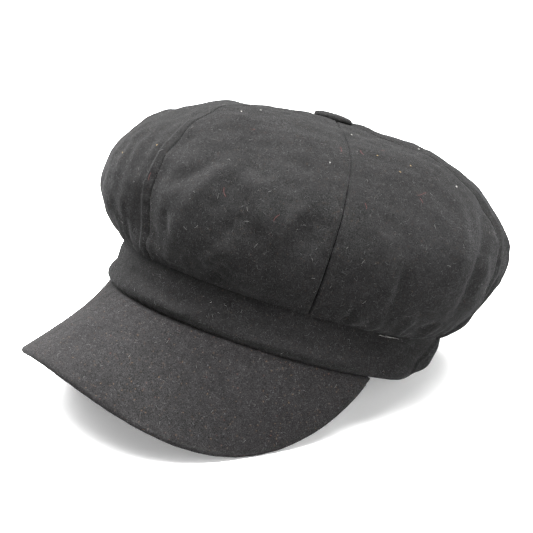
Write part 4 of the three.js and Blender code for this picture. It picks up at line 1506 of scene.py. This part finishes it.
# ---------------------------------------------------------------- lint
# Each row is one piece: azimuth, share of the way down for each place it lies over
PALE_LINT = ((10.0,0.395), (8.5,0.31), (54.5,0.49), (111.0,0.46), (67.5,0.235), (127.0,0.27),
             (151,0.62), (205,0.52), (248,0.74), (291,0.44))
RED_LINT = (
    (23.5,0.445), (28.5,0.685, 29.5,0.697, 30.5,0.71), (84.5,0.525, 87.0,0.518, 89.5,0.505),
    (86.0,0.535, 86.3,0.55), (221.0,0.60, 223.0,0.61), (306.0,0.72), (58.5,0.38, 58.0,0.42),
    (67.0,0.37, 68.0,0.40), (79.5,0.33, 82.0,0.325), (67.0,0.61, 67.5,0.63),
    (0.5,0.735, 1.0,0.755), (45.0,0.71, 44.4,0.73), (166.0,0.55, 168.0,0.57), (240.0,0.47),
    (283.0,0.62, 284.0,0.64))
OCHRE_LINT = ((89.5,0.395), (75.0,0.375), (81.5,0.445), (-16.5,0.70), (-3.5,0.65),
              (168.0,0.48), (232.0,0.70), (265.0,0.63, 266.0,0.65))


def crown_at(azimuth, share):
    """point and normal of the finished crown cloth"""
    grid, normals, azimuths = CROWN[panel_at(azimuth)[0]]
    j = int(np.clip(np.searchsorted(DOWN, share), 1, len(DOWN) - 2))
    i = int(np.argmin(np.abs(signed(azimuths[:, j] - azimuth))))
    return grid[i, j], normals[i, j]


def lint_path(places, lift, seed, sway):
    """a short curl at a single place, or a swaying fibre over several"""
    steps = 9
    rng = np.random.default_rng(seed)
    found = [crown_at(a, s) for a, s in pairs(places)]
    if len(found) == 1:
        point, normal = found[0]
        tangent = random_tangent(normal, rng)
        x = np.linspace(-1, 1, steps)[:, None]
        return (point + normal * (lift * (1 - 0.6 * x * x)) + tangent * (0.45 * x)
                + np.cross(normal, tangent) * (0.3 * np.sin(2.6 * x + rng.uniform(0, 6))))
    points = np.stack([point + normal * lift for point, normal in found])
    normals = np.stack([normal for _, normal in found])
    d = np.linspace(0, len(found) - 1, steps)
    path, up = (np.stack([np.interp(d, np.arange(len(found)), v[:, c]) for c in range(3)], 1)
                for v in (points, normals))
    aside = unit(np.cross(up, np.gradient(path, axis=0)))
    return path + aside * (sway * np.sin(np.linspace(0, 5.0, steps)
                                         + rng.uniform(0, 6)))[:, None]


# name, pieces, first seed, lift, sway, radius, material
for name, rows, seed, lift, sway, radius, material in (
        ("lint_pale", PALE_LINT, 700, 0.35, 0.5, 0.115, LINT_PALE),
        ("lint_red", RED_LINT, 730, 0.35, 0.35, 0.050, LINT_RED),
        ("lint_ochre", OCHRE_LINT, 750, 0.3, 0.3, 0.12, LINT_OCHRE)):
    paths = [lint_path(row, lift, seed + i, sway) for i, row in enumerate(rows)]
    place(tubes(name, paths, radius, material, sides=6), CROWN_PRESS)


def band_lint():
    """pale fibres caught in the seam above the band, and two specks on the band"""
    paths = []
    x = np.linspace(0, 1, 13)
    # first and last azimuth, first and last height, phase
    for a, a2, z, z2, phase in ((86.0, 92.8, 22.9, 22.8, 1), (88.5, 95.0, 23.3, 22.7, 2),
                                (-42.0, -38.5, 22.0, 22.4, 3)):
        phi = np.radians(a + (a2 - a) * x)
        height = z + (z2 - z) * x + 0.16 * np.sin(x * 8.0 + phase)
        paths.append(polar(phi, band_r(phi) + 1.15 + 0.2 * np.sin(x * 9 + phase), height))
    x = np.linspace(-1, 1, 7)
    for a, z in ((31.0, 15.5), (-70.0, 12.0)):
        phi = np.radians(a + 0.25 * x)
        height = z + 0.25 * np.sin(2.2 * x)
        offset = band_outer(np.degrees(phi), height)
        paths.append(polar(phi, band_r(phi) + offset + 0.25, height))
    place(tubes("lint_band", paths, 0.034, LINT_PALE, sides=6, tucked=True), "band")


band_lint()


# ---------------------------------------------------------------- floor, light, camera
def add_floor():
    bpy.ops.mesh.primitive_plane_add(size=12.0, location=(0, 0, -0.0004))
    floor = bpy.context.object
    floor.name = "floor"
    sh = new_shader("floor_pale")
    cloud = sh.noise(sh.coordinates(), scale=0.01, detail=2.0)
    # paler to the camera than to the light it bounces, with a softer shadow
    seen = sh.add("LightPath").outputs["Is Camera Ray"]
    pale = sh.ramp(cloud, {0.3: 0.90, 0.7: 0.92})
    sh.surface({
        "Base Color": sh.mix(seen, rgba(0.42), pale),
        "Emission Color": rgba(1.0), "Emission Strength": sh.math("MULTIPLY", seen, 0.30),
        "Roughness": 0.7, "Specular IOR Level": 0.2})
    # seen through from below
    below = sh.add("NewGeometry").outputs["Backfacing"]
    clear = sh.add("BsdfTransparent").outputs[0]
    nodes = sh.tree.nodes
    mixed = sh.add("MixShader", {0: below, 1: nodes["Principled BSDF"].outputs[0], 2: clear})
    sh.feed(nodes["Material Output"], {"Surface": mixed.outputs[0]})
    floor.data.materials.append(sh.owner)


def add_world():
    """white to the camera; as light, grey that brightens upwards"""
    world = bpy.data.worlds.new("studio")
    bpy.context.scene.world = world
    sh = Shader(world)
    direction = sh.add("SeparateXYZ", {0: sh.add("TexCoord").outputs["Generated"]})
    sky = sh.ramp(direction.outputs[2], {0.0: 0.07, 0.35: 0.30, 1.0: 0.72})
    seen = sh.add("LightPath").outputs["Is Camera Ray"]
    sh.feed(sh.tree.nodes["Background"], {0: sh.mix(seen, sky, rgba(1.0)), 1: 1.0})


def add_area_light(name, location, size, power):
    light = bpy.data.lights.new(name, "AREA")
    light.shape = "RECTANGLE"
    light.size, light.size_y = size
    light.energy = power
    obj = bpy.data.objects.new(name, light)
    bpy.context.scene.collection.objects.link(obj)
    obj.location = location
    aim = Vector((0, 0, 0.07)) - Vector(location)
    obj.rotation_euler = aim.to_track_quat("-Z", "Y").to_euler()


def add_camera():
    azimuth, elevation, distance = math.radians(55.755), math.radians(18.791), 0.89157
    target = Vector((0.006836, -0.000821, 0.070660))
    data = bpy.data.cameras.new("camera")
    camera = bpy.data.objects.new("camera", data)
    bpy.context.scene.collection.objects.link(camera)
    back = Vector((math.sin(azimuth) * math.cos(elevation),
                   -math.cos(azimuth) * math.cos(elevation), math.sin(elevation)))
    camera.location = target + back * distance
    camera.rotation_mode = "QUATERNION"
    camera.rotation_quaternion = (-back).to_track_quat("-Z", "Y")
    data.sensor_width = 36.0
    data.lens = 108.10
    data.clip_start, data.clip_end = 0.01, 50
    bpy.context.scene.camera = camera


add_floor()
add_world()
add_area_light("key_top", location=(0.18, -0.07, 1.33), size=(1.4, 1.2), power=146.0)
add_area_light("key_left", location=(-1.20, -0.25, 0.70), size=(0.7, 0.6), power=36.0)
add_area_light("fill_right", location=(1.25, 0.15, 0.55), size=(0.7, 0.6), power=9.0)
add_camera()
bpy.context.scene.view_settings.view_transform = "Standard"
